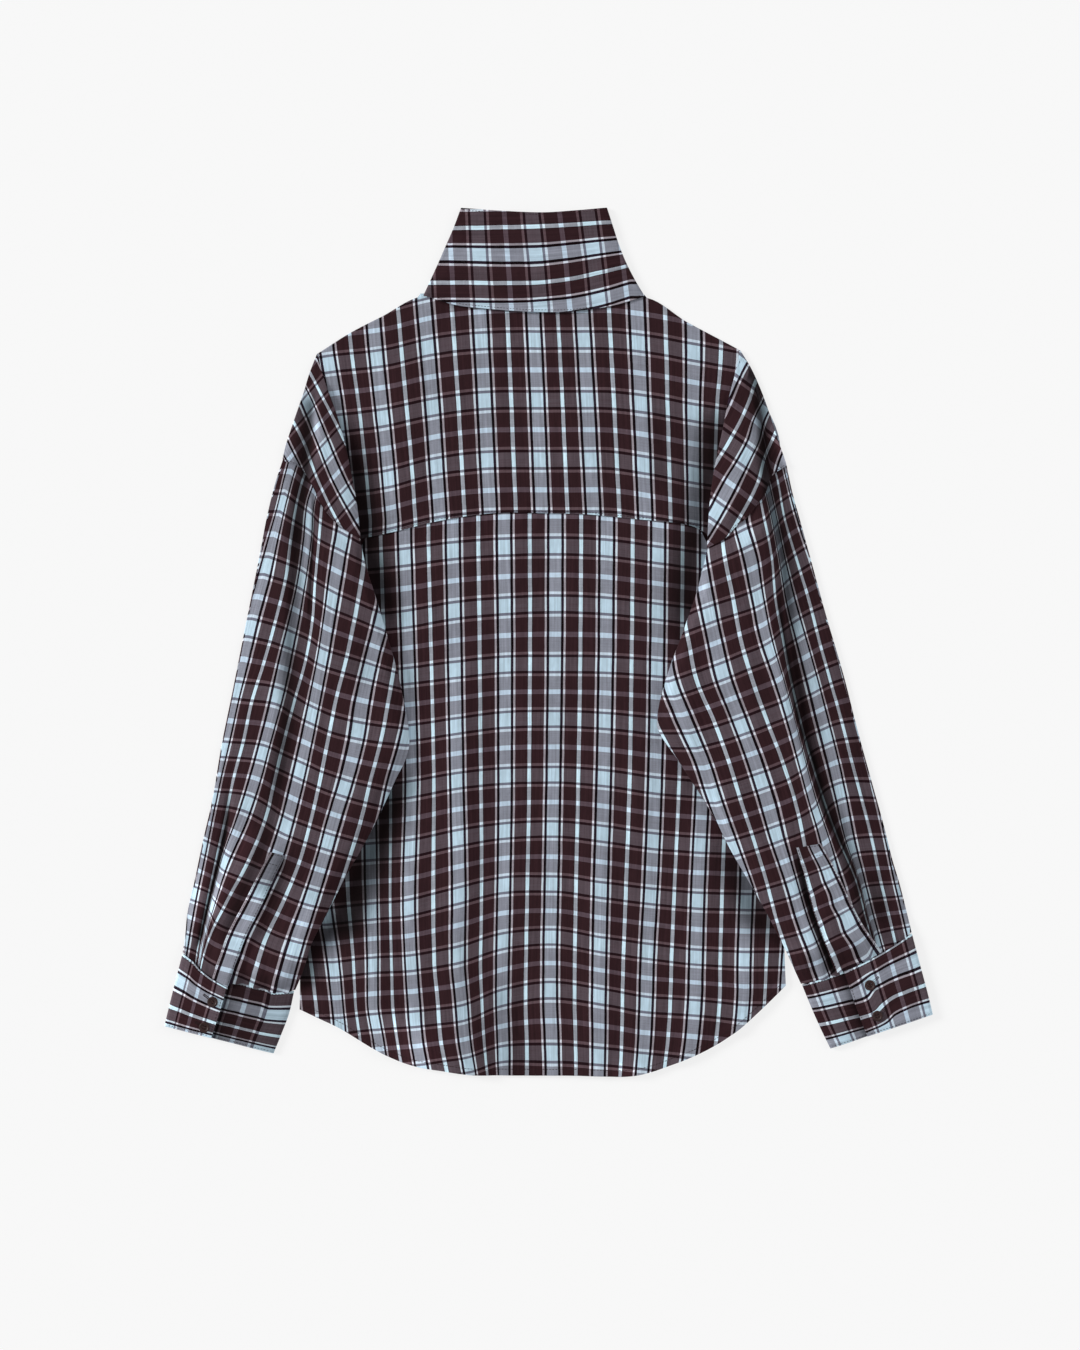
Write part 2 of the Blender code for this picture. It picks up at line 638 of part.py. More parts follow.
def sleeve(side):
    sections = np.arange(13.0)
    c = np.linspace(0, 1, FLAP_COLUMNS + 1)
    flat, lower, upper = sleeve_faces(side, sections, c)
    way = flat[:, -1] - flat[:, 0]
    unit = way / np.linalg.norm(way, axis=1)[:, None]
    outer, inner = [], []
    for s in range(len(sections)):
        def ring(inset, wall):
            xy = flat[s].copy()
            xy[0] = flat[s, 0] + unit[s] * (1.3 + inset)
            xy[-1] = flat[s, -1] - unit[s] * (1.3 + inset)
            below = np.column_stack((xy, lower[s] + wall))
            above = np.column_stack((xy, upper[s] - wall))
            first = np.append(flat[s, 0] + unit[s] * wall * 1.1, (lower[s, 0] + upper[s, 0]) / 2)
            last = np.append(flat[s, -1] - unit[s] * wall * 1.1, (lower[s, -1] + upper[s, -1]) / 2)
            return np.vstack((below, last, above[::-1], first))
        outer.append(ring(0.0, 0.0))
        inner.append(ring(0.35, WALL))
    return loft("sleeve_" + side, np.array(outer), np.array(inner), "cloth", closed=True)


def placket(side):
    """A narrow strip on the sleeve's upper face, made from its points moved out."""
    table = PLACKET_LEFT if side == "left" else PLACKET_RIGHT
    keyed = np.array(table, float)
    t = np.array([keyed[0, 0], *np.arange(math.ceil(keyed[0, 0] + 0.3), 12.0), 11.97])
    near, far = along(keyed, t).T
    sections = np.arange(13.0)
    c = np.linspace(0, 1, FLAP_COLUMNS + 1)
    flat, _, upper = sleeve_faces(side, sections, c)
    grid = []
    for row, a, b in zip(t, near, far):
        lower_row = min(int(row), 11)
        k = row - lower_row
        line = []
        for share in np.linspace(a, b, 4):
            at = [np.interp(share, c, (1 - k) * flat[lower_row, :, i] + k * flat[lower_row + 1, :, i]) for i in (0, 1)]
            high = np.interp(share, c, np.maximum((1 - k) * upper[lower_row] + k * upper[lower_row + 1], 0))
            line.append((*at, high + LIFT + WALL + 0.6))
        grid.append(line)
    return surface("placket_" + side, np.array(grid), "cloth")


# ------------------------------------------------------------ collar, cuffs
def collar():
    """A tall band folded flat, its ends lapped under the back as the fronts are."""
    width = 209.0
    low, mid, top = COLLAR_WALL / 2, 1.5 * COLLAR_WALL + LIFT - 0.1, 2.5 * COLLAR_WALL + 2 * LIFT + 0.05
    path = [(COLLAR_END_OF_LEFT * width, mid)]
    path += [(share * width, mid) for share in (0.5, 0.35, 0.2, 0.08)]
    path += [(3.2, mid), (1.5, mid + 0.25), (0.9, (mid + top) / 2), (1.5, top - 0.25), (3.2, top)]
    path += [(share * width, top) for share in (0.1, 0.2, 0.3, 0.4, 0.5, 0.6, 0.7, 0.8, 0.9)]
    path += [(width - 3.4, top), (width - 1.3, top - 0.7), (width - 0.6, (top + low) / 2), (width - 1.3, low + 0.7), (width - 3.4, low)]
    path += [(share * width, low) for share in (0.9, 0.75, 0.6, 0.48)]
    path += [(COLLAR_END_OF_RIGHT * width, low)]
    below = [i < 7 or i > 20 for i in range(len(path))]
    a, b = thickened(path, COLLAR_WALL)
    rows = np.array(COLLAR_ROWS)
    shares = np.linspace(0, 1, 7)
    sides = along(rows, shares)
    t = np.linspace(0, 1, 41)
    neck, rim = along(NECK, t), along(COLLAR_TOP, t)
    faces = []
    for face in (a, b):
        out = []
        for share, (x0, x1) in zip(shares, sides):
            line = []
            for (d, z), under in zip(face, below):
                u = d / width
                high = np.interp(u, t, rim[:, 1])
                foot = np.interp(u, t, neck[:, 1]) + 2.6 * SEAM
                if under:
                    foot -= NECK_DIP * math.sin(math.pi * min(max(u, 0), 1))
                line.append((x0 + (x1 - x0) * u, high + (foot - high) * share, z))
            out.append(line)
        faces.append(np.array(out))
    return loft("collar", faces[0], faces[1], "collar", closed=False)


def cuff_path(lap, width):
    """Middle line of the band's wall: under end, inner fold, lower layer, outer fold, lapping end."""
    half = CUFF_WALL / 2
    low, mid, top = half, 3 * half + LIFT + 0.2, 5 * half + 2 * LIFT + 0.2
    path = [((lap - CUFF_UNDERLAP) * width, mid), (lap * width, mid), ((lap + 0.12) * width, mid + 0.3)]
    path += [(share * width, mid + 0.3) for share in (lap + 0.3,) if share < 0.93]
    path += [(width - 4.0, mid + 0.3), (width - 1.8, mid - 0.2), (width - 1.0, (low + mid) / 2 + 0.1), (width - 1.8, low + 0.3), (width - 4.0, low)]
    path += [(share * width, low) for share in (0.75, 0.5, 0.25)]
    path += [(4.0, low), (1.8, low + 0.5), (0.9, (low + top) / 2), (1.8, top - 0.6), (4.5, top)]
    path += [(share * width, top) for share in np.linspace(0.12, lap, 4)]
    return path


def cuff_place(side, across, down):
    """The point across the band (0 at its outer fold) and down from its seam."""
    table = np.array(CUFF_LEFT if side == "left" else CUFF_RIGHT, float)
    values = rows_at(table, np.array([down * (len(table) - 1)]))[0]
    outer, inner, bow = values[0:2], values[2:4], values[4]
    way = inner - outer
    length = np.linalg.norm(way)
    drop = np.array((way[1], -way[0])) / length
    drop = drop if drop[1] < 0 else -drop
    return outer + way * across + drop * bow * max(0.0, 4 * across * (1 - across))


def cuff(side):
    lap = CUFF_LAP_LEFT if side == "left" else CUFF_LAP_RIGHT
    width = 111.0
    a, b = thickened(cuff_path(lap, width), CUFF_WALL)
    faces = []
    for face in (a, b):
        out = []
        for down in np.linspace(0, 1, 5):
            line = []
            for d, z in face:
                x, y = cuff_place(side, d / width, down)
                line.append((x, y, z))
            out.append(line)
        faces.append(np.array(out))
    return loft("cuff_" + side, faces[0], faces[1], "cuff", closed=False)


def button(name, side, across, down):
    """A turned disc with a raised rim and four holes, on the lapping end of a cuff."""
    x, y = cuff_place(side, across, down)
    base = 6 * CUFF_WALL / 2 + 2 * LIFT + 0.2 + SEAM
    radius = BUTTON_DIAMETER / 2
    profile = (
        (radius - 0.9, 0.0), (radius, 0.5), (radius, BUTTON_THICKNESS - 0.4),
        (radius - 0.4, BUTTON_THICKNESS), (radius - 1.3, BUTTON_THICKNESS), (radius - 1.7, BUTTON_THICKNESS - BUTTON_RIM),
    )
    bm = bmesh.new()
    sides = 16
    rings = [
        [bm.verts.new((r * math.cos(2 * math.pi * k / sides) * 0.001, r * math.sin(2 * math.pi * k / sides) * 0.001, z * 0.001)) for k in range(sides)]
        for r, z in profile
    ]
    for lower, upper in zip(rings, rings[1:]):
        for k in range(sides):
            n = (k + 1) % sides
            bm.faces.new((lower[k], lower[n], upper[n], upper[k]))
    bm.faces.new(rings[0][::-1])
    bm.faces.new(rings[-1])
    bmesh.ops.recalc_face_normals(bm, faces=bm.faces)
    mesh = bpy.data.meshes.new(name)
    bm.to_mesh(mesh)
    bm.free()
    mesh.shade_smooth()
    mesh.set_sharp_from_angle(angle=math.radians(35))
    made = add_object(name, mesh, "button")
    made.location = (x * 0.001, y * 0.001, base * 0.001)
    for i, (sx, sy) in enumerate(((1, 1), (-1, 1), (-1, -1), (1, -1))):
        bpy.ops.mesh.primitive_cylinder_add(
            vertices=6, radius=BUTTON_HOLE / 2 * 0.001, depth=0.008,
            location=((x + sx * BUTTON_HOLE_OFFSET) * 0.001, (y + sy * BUTTON_HOLE_OFFSET) * 0.001, base * 0.001),
        )
        drill = bpy.context.object
        drill.name = f"{name}_hole_{i}"
        for owner in list(drill.users_collection):
            owner.objects.unlink(drill)
        CUTTERS.objects.link(drill)
        drill.hide_render = True
        drill.display_type = "WIRE"
        cut = made.modifiers.new(f"hole_{i}", "BOOLEAN")
        cut.operation = "DIFFERENCE"
        cut.object = drill
    return made


# -------------------------------------------------------------------- build
for old in list(bpy.data.objects):
    bpy.data.objects.remove(old, do_unlink=True)
SHIRT = bpy.data.collections.new("wrap_shirt")
CUTTERS = bpy.data.collections.new("wrap_shirt_cutters")
bpy.context.scene.collection.children.link(SHIRT)
bpy.context.scene.collection.children.link(CUTTERS)

surface("yoke", yoke_grid(FLAP_COLUMNS, BODY_COLUMNS, YOKE_ROWS), "cloth")
surface("back", back_grid(BACK_COLUMNS, BACK_ROWS), "cloth")
surface("front_right", front_grid("right", FRONT_COLUMNS, FRONT_ROWS), "cloth")
surface("front_left", front_grid("left", FRONT_COLUMNS, FRONT_ROWS), "cloth")
for where in ("left", "right"):
    sleeve(where)
    placket(where)
    cuff(where)
collar()
for entry in BUTTONS:
    button(*entry)
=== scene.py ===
"""Looks of the checked wrap shirt that lies face down, back up.

Every panel is a thin closed shell of shirting on the form of its solid, worked
out from the same outlines, with its creases laid in.
holds where each point lies in the weave, in metres across and along the warp,
so that the woven check follows every seam and fold.
"""

import math

import bmesh
import bpy
import numpy as np
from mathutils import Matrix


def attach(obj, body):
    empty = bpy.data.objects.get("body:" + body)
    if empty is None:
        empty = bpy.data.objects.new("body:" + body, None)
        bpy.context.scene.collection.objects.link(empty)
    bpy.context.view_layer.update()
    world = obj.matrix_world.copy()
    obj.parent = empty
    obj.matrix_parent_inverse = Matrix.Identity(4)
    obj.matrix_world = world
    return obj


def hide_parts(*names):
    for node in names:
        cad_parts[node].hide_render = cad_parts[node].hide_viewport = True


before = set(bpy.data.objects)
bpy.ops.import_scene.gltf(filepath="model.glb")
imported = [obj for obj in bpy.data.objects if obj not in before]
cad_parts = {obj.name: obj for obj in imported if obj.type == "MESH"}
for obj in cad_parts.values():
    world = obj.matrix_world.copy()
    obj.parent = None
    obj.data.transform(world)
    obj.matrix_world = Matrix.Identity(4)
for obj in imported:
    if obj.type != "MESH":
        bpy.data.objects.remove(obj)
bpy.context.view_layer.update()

# ------------------------------------------------------------------ sizes, mm
CLOTH = 0.7  # thickness of one layer as it is shown
HEM_CLOTH = 1.5
SEAM = 0.3
LIFT = 0.4
BACK_TOP = 3.9
EDGE_TOP = 2.6
UNDER_SLEEVE = BACK_TOP + LIFT
LANDING = 40.0
WARP_REPEAT = 49.0
WEFT_REPEAT = 55.5

# ---------------------------------------------------- outlines: share, x, y
YOKE_TOP = (
    (0.00, -215.0, 274.0),
    (0.10, -187.5, 291.5),
    (0.20, -157.5, 307.0),
    (0.29, -118.5, 325.8),
    (0.37, -89.5, 317.8),
    (0.45, -56.5, 314.0),
    (0.60, 11.5, 311.0),
    (0.70, 61.5, 316.8),
    (0.77, 91.0, 324.6),
    (0.85, 130.5, 302.0),
    (0.93, 162.5, 285.0),
    (1.00, 177.5, 277.0),
)
YOKE_SEAM = (
    (0.00, -175.0, 98.5),
    (0.10, -142.0, 105.5),
    (0.20, -110.0, 113.5),
    (0.33, -65.0, 121.0),
    (0.58, 11.0, 122.0),
    (0.80, 83.5, 116.5),
    (0.94, 134.0, 110.5),
    (1.00, 147.0, 104.5),
)
CREASE_LEFT = (
    (0.00, -218.5, 272.0),
    (0.17, -211.0, 242.5),
    (0.31, -202.5, 219.0),
    (0.45, -195.0, 194.5),
    (0.65, -187.5, 160.5),
    (0.87, -181.0, 122.0),
    (1.00, -178.8, 98.8),
)
CREASE_RIGHT = (
    (0.00, 181.0, 275.0),
    (0.12, 177.0, 254.0),
    (0.25, 171.0, 229.0),
    (0.37, 166.5, 206.5),
    (0.49, 162.0, 185.0),
    (0.61, 157.5, 163.5),
    (0.77, 153.5, 135.0),
    (1.00, 150.7, 90.0),
)
DROP_LEFT = (
    (0.00, -250.8, 173.5),
    (0.13, -248.0, 185.0),
    (0.32, -242.0, 204.0),
    (0.52, -235.5, 223.0),
    (0.66, -231.0, 236.0),
    (0.84, -225.5, 254.0),
    (1.00, -218.5, 272.0),
)
DROP_RIGHT = (
    (0.00, 224.0, 169.0),
    (0.07, 222.0, 175.0),
    (0.23, 215.5, 193.5),
    (0.44, 208.0, 217.0),
    (0.66, 199.5, 240.0),
    (0.86, 190.0, 260.5),
    (1.00, 181.0, 275.0),
)
ARMHOLE_LEFT = (
    (0.00, -250.8, 172.0),
    (0.14, -235.0, 165.5),
    (0.31, -223.5, 149.0),
    (0.51, -213.0, 127.5),
    (0.71, -199.0, 111.5),
    (0.87, -186.5, 102.5),
    (1.00, -178.8, 98.5),
)
ARMHOLE_RIGHT = (
    (0.00, 224.5, 167.0),
    (0.14, 211.0, 157.0),
    (0.28, 205.0, 142.0),
    (0.42, 196.5, 129.5),
    (0.56, 187.0, 117.5),
    (0.70, 175.0, 107.5),
    (0.82, 168.0, 99.0),
    (1.00, 150.7, 89.7),
)
SIDE_LEFT = (
    (0.00, -175.5, 98.2),
    (0.06, -187.5, 76.0),
    (0.12, -201.0, 49.0),
    (0.18, -214.0, 21.0),
    (0.35, -225.0, -55.0),
    (0.56, -232.0, -149.0),
    (0.77, -234.5, -243.5),
    (1.00, -235.0, -347.0),
)
SIDE_RIGHT = (
    (0.00, 147.5, 104.2),
    (0.06, 160.0, 79.0),
    (0.12, 173.0, 50.0),
    (0.19, 184.5, 21.0),
    (0.38, 203.5, -59.5),
    (0.59, 215.5, -149.0),
    (0.81, 221.5, -243.5),
    (1.00, 224.0, -324.5),
)
HEM = (
    (0.00, -235.0, -347.0),
    (0.06, -203.5, -362.0),
    (0.14, -170.5, -381.0),
    (0.20, -140.5, -395.0),
    (0.30, -95.0, -407.0),
    (0.42, -41.0, -409.0),
    (0.53, 11.0, -409.5),
    (0.64, 64.5, -410.0),
    (0.76, 124.0, -397.5),
    (0.87, 176.0, -368.0),
    (0.94, 204.0, -344.0),
    (1.00, 224.0, -324.5),
)
FRONT_HEM_RISE = 15.0
FRONT_EDGE_LEFT = (
    (0.00, -216.0, 268.0),
    (0.09, -228.0, 236.0),
    (0.22, -246.0, 184.0),
    (0.27, -227.0, 169.0),
    (0.33, -206.0, 130.0),
    (0.40, -178.0, 96.0),
    (0.47, -200.0, 46.0),
    (0.52, -212.0, 19.0),
    (0.63, -223.0, -57.0),
    (0.76, -230.0, -151.0),
    (0.88, -232.5, -240.0),
    (1.00, -232.5, -333.0),
)
FRONT_EDGE_RIGHT = (
    (0.00, 178.0, 271.0),
    (0.09, 197.0, 238.0),
    (0.22, 219.0, 181.0),
    (0.27, 206.0, 154.0),
    (0.33, 191.0, 126.0),
    (0.40, 149.0, 90.0),
    (0.47, 171.0, 46.0),
    (0.52, 182.0, 19.0),
    (0.63, 200.5, -57.0),
    (0.76, 212.5, -151.0),
    (0.88, 218.5, -240.0),
    (1.00, 221.0, -312.0),
)
WRAP_EDGE_OF_RIGHT = ((0.0, -45.0, 291.0), (0.5, -80.0, -50.0), (1.0, -108.0, -391.5))
WRAP_EDGE_OF_LEFT = ((0.0, 18.0, 289.0), (0.5, 52.0, -50.0), (1.0, 80.0, -394.0))
NECK_DIP = 22.0
NECK = (
    (0.00, -118.5, 327.0),
    (0.14, -89.5, 318.0),
    (0.30, -56.5, 314.0),
    (0.46, -22.5, 311.5),
    (0.62, 11.5, 311.0),
    (0.73, 36.0, 313.0),
    (0.85, 61.5, 317.0),
    (1.00, 91.0, 326.0),
)
# Sleeve sections: outer_x, outer_y, inner_x, inner_y, bow, crown.
SLEEVE_LEFT = (
    (-251.0, 171.6, -179.0, 98.2, 0.0, 2.2),
    (-258.5, 148.0, -172.5, 71.5, 3.0, 2.4),
    (-266.0, 117.0, -163.0, 41.5, 2.0, 2.8),
    (-273.5, 77.5, -153.5, 9.5, 0.0, 3.0),
    (-284.5, 22.5, -141.0, -36.0, 0.0, 3.2),
    (-298.0, -45.5, -131.5, -93.5, 0.0, 3.4),
    (-308.5, -97.0, -146.5, -134.0, 0.0, 3.4),
    (-317.0, -147.5, -170.5, -184.0, 1.0, 3.4),
    (-326.0, -187.0, -191.5, -221.0, 3.0, 3.4),
    (-334.5, -227.5, -211.0, -259.5, 5.0, 3.4),
    (-340.5, -254.0, -223.5, -284.0, 8.0, 3.4),
    (-343.0, -275.5, -230.5, -306.0, 10.0, 3.2),
    (-346.0, -296.5, -238.0, -322.5, 11.0, 2.9),
)
SLEEVE_RIGHT = (
    (224.8, 166.6, 151.0, 89.4, 0.0, 2.2),
    (230.5, 139.5, 145.0, 66.0, 3.0, 2.4),
    (237.5, 114.0, 139.0, 44.0, 2.0, 2.8),
    (247.5, 77.5, 127.0, 9.5, 0.0, 3.0),
    (262.0, 24.5, 112.0, -32.0, 0.0, 3.2),
    (278.0, -30.0, 102.5, -75.5, 0.0, 3.4),
    (291.0, -81.0, 124.0, -114.0, 0.0, 3.4),
    (305.5, -134.0, 152.5, -158.5, 1.0, 3.4),
    (315.5, -170.0, 171.0, -194.5, 2.0, 3.4),
    (324.0, -204.0, 190.0, -227.5, 3.0, 3.4),
    (331.0, -227.5, 206.0, -256.0, 4.0, 3.4),
    (336.5, -249.0, 221.5, -286.0, 5.0, 3.2),
    (342.5, -274.0, 238.5, -322.5, 6.0, 2.9),
)
COLLAR_ROWS = (
    (0.00, -82.5, 55.0),
    (0.24, -90.0, 61.5),
    (0.42, -96.5, 66.5),
    (0.60, -103.0, 72.5),
    (0.80, -110.5, 81.0),
    (1.00, -118.2, 91.0),
)
COLLAR_TOP = (
    (0.0, -82.5, 409.7), (0.28, -46.0, 406.8), (0.55, -8.0, 405.3), (0.78, 25.0, 407.2), (1.0, 55.0, 410.0),
)
COLLAR_END_OF_RIGHT = 0.35
COLLAR_END_OF_LEFT = 0.65
CUFF_LEFT = (
    (-346.3, -297.4, -238.5, -323.6, 11.0),
    (-352.5, -321.0, -244.0, -347.5, 7.0),
    (-358.0, -343.0, -252.0, -369.5, 3.0),
    (-362.7, -362.5, -259.5, -388.5, 0.0),
)
CUFF_RIGHT = (
    (343.0, -275.0, 239.0, -323.6, 6.0),
    (350.0, -302.0, 247.0, -343.0, 4.0),
    (357.0, -328.0, 256.5, -364.5, 2.0),
    (362.7, -351.5, 266.0, -384.0, 0.0),
)
CUFF_LAP = {"left": 0.43, "right": 0.64}
SEAM_DROP = (
    (0.0, -3.5), (0.1, -2.5), (0.17, 1.0), (0.28, 4.0), (0.437, 7.1), (0.455, 0.8), (0.56, 0.0), (0.75, 2.6), (0.82, 6.2), (1.0, 6.0),
)
CUFF_UNDERLAP = 0.19
LAP_RISE_AT = (0.0, 0.12, 0.40, 0.60, 0.90)  # shares down the right cuff
LAP_RISE = (  # share across, then how far up its bands are drawn at each share down
    (0.0, 0, 1.0, 0.5, 2.6, 4.0), (0.19, 0, 3.0, 3.0, 4.5, 5.8), (0.33, 0, 4.4, 6.2, 7.0, 5.8),
    (0.42, 0, 4.4, 7.2, 5.0, 1.8), (0.51, 0, 3.2, 1.8, 1.5, 0.0), (0.64, 0, 0.0, 0.0, 0.0, -1.8),
)
BUTTONS = (
    ("button_left_upper", "left", 0.35, 0.335),
    ("button_left_lower", "left", 0.345, 0.83),
    ("button_right_upper", "right", 0.47, 0.26),
    ("button_right_lower", "right", 0.49, 0.68),
)
PLACKET_LEFT = (
    (7.80, 0.465, 0.565), (8.60, 0.420, 0.555), (9.90, 0.358, 0.512), (11.1, 0.318, 0.465), (12.0, 0.292, 0.445),
)
PLACKET_RIGHT = (
    (8.20, 0.435, 0.598), (9.00, 0.402, 0.625), (10.2, 0.388, 0.675), (11.1, 0.360, 0.695), (12.0, 0.288, 0.700),
)

# ------------------------------------------------------- how the check lies
# Warp tables: a row for each height y, then the x of each broad stripe, or of
# broad and narrow stripes in turn. Weft tables: a row for each broad stripe,
# then its y at each x (or at each broad warp stripe on the sleeves).
BACK_WARP = (  # y, then stripes -3 to 8
    (96.5, -274.5, -227.0, -181.0, -136.0, -90.5, -42.0, 6.5, 55.0, 103.5, 149.5, 196.5, 244.0),
    (-17.0, -270.5, -223.5, -177.0, -132.5, -88.5, -41.0, 6.0, 54.0, 102.5, 148.5, 195.0, 241.0),
    (-130.5, -259.0, -214.0, -169.5, -129.5, -86.5, -41.0, 4.5, 52.0, 100.5, 145.5, 190.0, 235.5),
    (-243.5, -253.5, -212.0, -167.0, -132.0, -84.5, -42.5, 2.5, 49.0, 96.0, 140.5, 186.5, 230.0),
    (-300.0, -247.0, -203.5, -166.0, -130.0, -85.0, -43.5, 1.5, 48.0, 93.0, 139.0, 184.5, 226.0),
    (-338.0, -242.0, -199.5, -166.0, -127.5, -82.0, -44.0, 1.5, 47.5, 92.0, 138.0, 184.0, 223.0),
    (-375.5, -237.5, -196.0, -160.5, -124.5, -79.0, -43.0, 3.0, 47.5, 90.5, 135.0, 180.5, 218.5),
    (-413.5, -232.0, -191.5, -154.5, -117.5, -72.5, -42.5, 4.0, 47.0, 87.5, 129.5, 176.0, 213.5),
)
BACK_WEFT_AT = tuple(range(-2, 8))  # at these warp stripes
BACK_WEFT = (  # stripe, then y
    (-1, 126.5, 131.0, 136.0, 142.5, 146.5, 147.5, 145.5, 139.0, 132.0, 124.5),
    (0, 71.5, 75.5, 80.0, 86.0, 89.5, 90.5, 88.5, 82.0, 75.5, 68.0),
    (1, 13.0, 17.0, 21.5, 29.5, 34.0, 36.0, 34.0, 28.5, 22.5, 16.0),
    (2, -39.5, -36.0, -32.0, -26.5, -21.5, -21.0, -21.5, -25.0, -30.0, -36.0),
    (3, -92.5, -89.5, -86.0, -79.5, -73.5, -72.5, -74.5, -79.5, -84.0, -88.5),
    (4, -146.5, -143.5, -139.0, -131.0, -126.5, -125.5, -128.5, -135.5, -139.5, -142.5),
    (5, -202.0, -198.0, -195.0, -185.0, -178.5, -176.5, -181.0, -188.0, -191.5, -193.5),
    (6, -259.5, -254.5, -251.0, -239.0, -229.5, -228.5, -234.0, -240.0, -244.0, -245.5),
    (7, -309.5, -305.0, -303.0, -295.0, -282.5, -278.5, -285.5, -292.0, -297.5, -300.0),
    (8, -362.5, -358.5, -356.0, -350.0, -336.0, -328.5, -334.0, -342.0, -345.0, -350.0),
    (9, -413.5, -409.0, -406.0, -398.5, -389.0, -388.0, -391.0, -395.5, -400.5, -404.0),
)
YOKE_WARP = (  # y, then stripes -3 to 7
    (323.0, -263.0, -215.5, -167.3, -118.0, -65.5, -15.0, 31.0, 83.0, 136.5, 189.0, 236.0),
    (265.0, -256.0, -207.7, -162.1, -113.1, -62.4, -12.2, 34.4, 85.5, 137.0, 187.0, 233.0),
    (228.5, -250.5, -201.5, -158.3, -110.0, -60.5, -10.5, 36.5, 87.0, 136.5, 182.0, 228.0),
    (170.0, -243.0, -194.6, -152.2, -106.1, -57.7, -8.2, 39.6, 89.3, 137.0, 177.5, 223.0),
    (115.0, -238.0, -189.0, -148.0, -102.5, -55.0, -6.0, 42.5, 91.5, 137.5, 176.5, 221.0),
)
YOKE_WEFT_AT = (-253.5, -206.5, -150.5, -112.0, -65.0, -8.0, 48.5, 91.0, 133.5, 180.5, 228.0)  # x
YOKE_WEFT = (
    (-1, 306.0, 315.5, 323.0, 332.5, 339.0, 341.0, 341.0, 337.0, 329.5, 320.0, 311.5),
    (0, 255.0, 262.5, 269.0, 278.5, 284.0, 285.0, 285.0, 281.5, 274.0, 265.5, 257.0),
    (1, 196.5, 205.0, 212.5, 221.0, 227.5, 228.5, 228.5, 224.5, 217.0, 209.5, 202.0),
    (2, 138.0, 146.5, 154.0, 164.5, 171.0, 172.0, 172.0, 167.0, 158.5, 152.0, 145.5),
    (3, 81.0, 89.5, 99.0, 108.5, 114.0, 115.0, 115.0, 110.5, 104.0, 96.5, 88.5),
)
SLEEVE_LEFT_WARP = (  # y, then broad and narrow stripes in turn, 0 to 4
    (190.5, -234.5, -216.5, -205.5, -199.0, -170.5, -149.5, -126.0, -102.5, -79.0),
    (153.0, -246.0, -232.0, -216.5, -208.0, -185.0, -163.0, -138.5, -115.0, -91.0),
    (134.0, -250.5, -237.0, -223.0, -213.0, -188.5, -166.5, -141.0, -117.5, -95.0),
    (96.5, -260.0, -243.0, -226.5, -216.0, -194.5, -172.5, -146.0, -123.5, -100.5),
    (58.5, -269.5, -248.0, -232.0, -219.5, -201.0, -176.0, -149.5, -128.0, -105.5),
    (21.0, -280.0, -257.0, -240.0, -222.0, -207.0, -182.5, -157.0, -135.5, -113.0),
    (-17.0, -288.5, -267.5, -248.5, -228.5, -213.0, -190.5, -166.5, -144.5, -121.5),
    (-55.0, -297.0, -279.5, -256.0, -239.0, -220.0, -200.0, -175.0, -150.5, -128.0),
    (-92.5, -305.5, -287.5, -266.0, -249.0, -227.5, -207.5, -180.5, -157.5, -134.0),
    (-130.5, -314.0, -297.5, -276.5, -258.0, -236.0, -215.0, -190.0, -167.5, -145.5),
    (-168.0, -322.0, -305.5, -289.5, -267.0, -245.5, -223.5, -202.0, -176.5, -154.5),
    (-206.0, -329.5, -314.0, -305.5, -282.5, -257.5, -234.0, -212.5, -188.5, -166.5),
    (-243.5, -337.5, -322.0, -316.0, -302.5, -274.5, -249.0, -224.0, -201.5, -180.0),
    (-281.5, -344.0, -329.5, -325.5, -321.0, -293.0, -267.0, -236.5, -215.0, -193.0),
    (-319.0, -350.0, -335.5, -333.0, -331.0, -310.5, -279.0, -247.5, -226.0, -204.5),
    (-347.5, -353.5, -340.5, -338.5, -336.5, -321.5, -288.5, -254.5, -234.5, -214.0),
)
SLEEVE_LEFT_WEFT = (  # stripe, then y at broad warp stripes 0 to 4
    (-2, 190.5, 170.0, 148.0, 124.5, 96.5),
    (-1, 131.5, 113.5, 94.0, 71.5, 49.0),
    (0, 72.0, 58.0, 39.5, 19.0, 2.0),
    (1, 13.5, 2.0, -14.5, -28.0, -41.5),
    (2, -45.5, -51.0, -69.0, -83.5, -89.5),
    (3, -101.5, -105.0, -121.0, -137.5, -149.0),
    (4, -147.5, -152.0, -173.5, -188.0, -201.0),
    (5, -193.5, -207.5, -223.5, -240.5, -248.5),
    (6, -237.0, -249.0, -268.0, -289.0, -295.5),
    (7, -281.5, -293.5, -314.5, -338.0, -343.5),
    (8, -324.0, -338.0, -358.5, -385.0, -391.0),
)
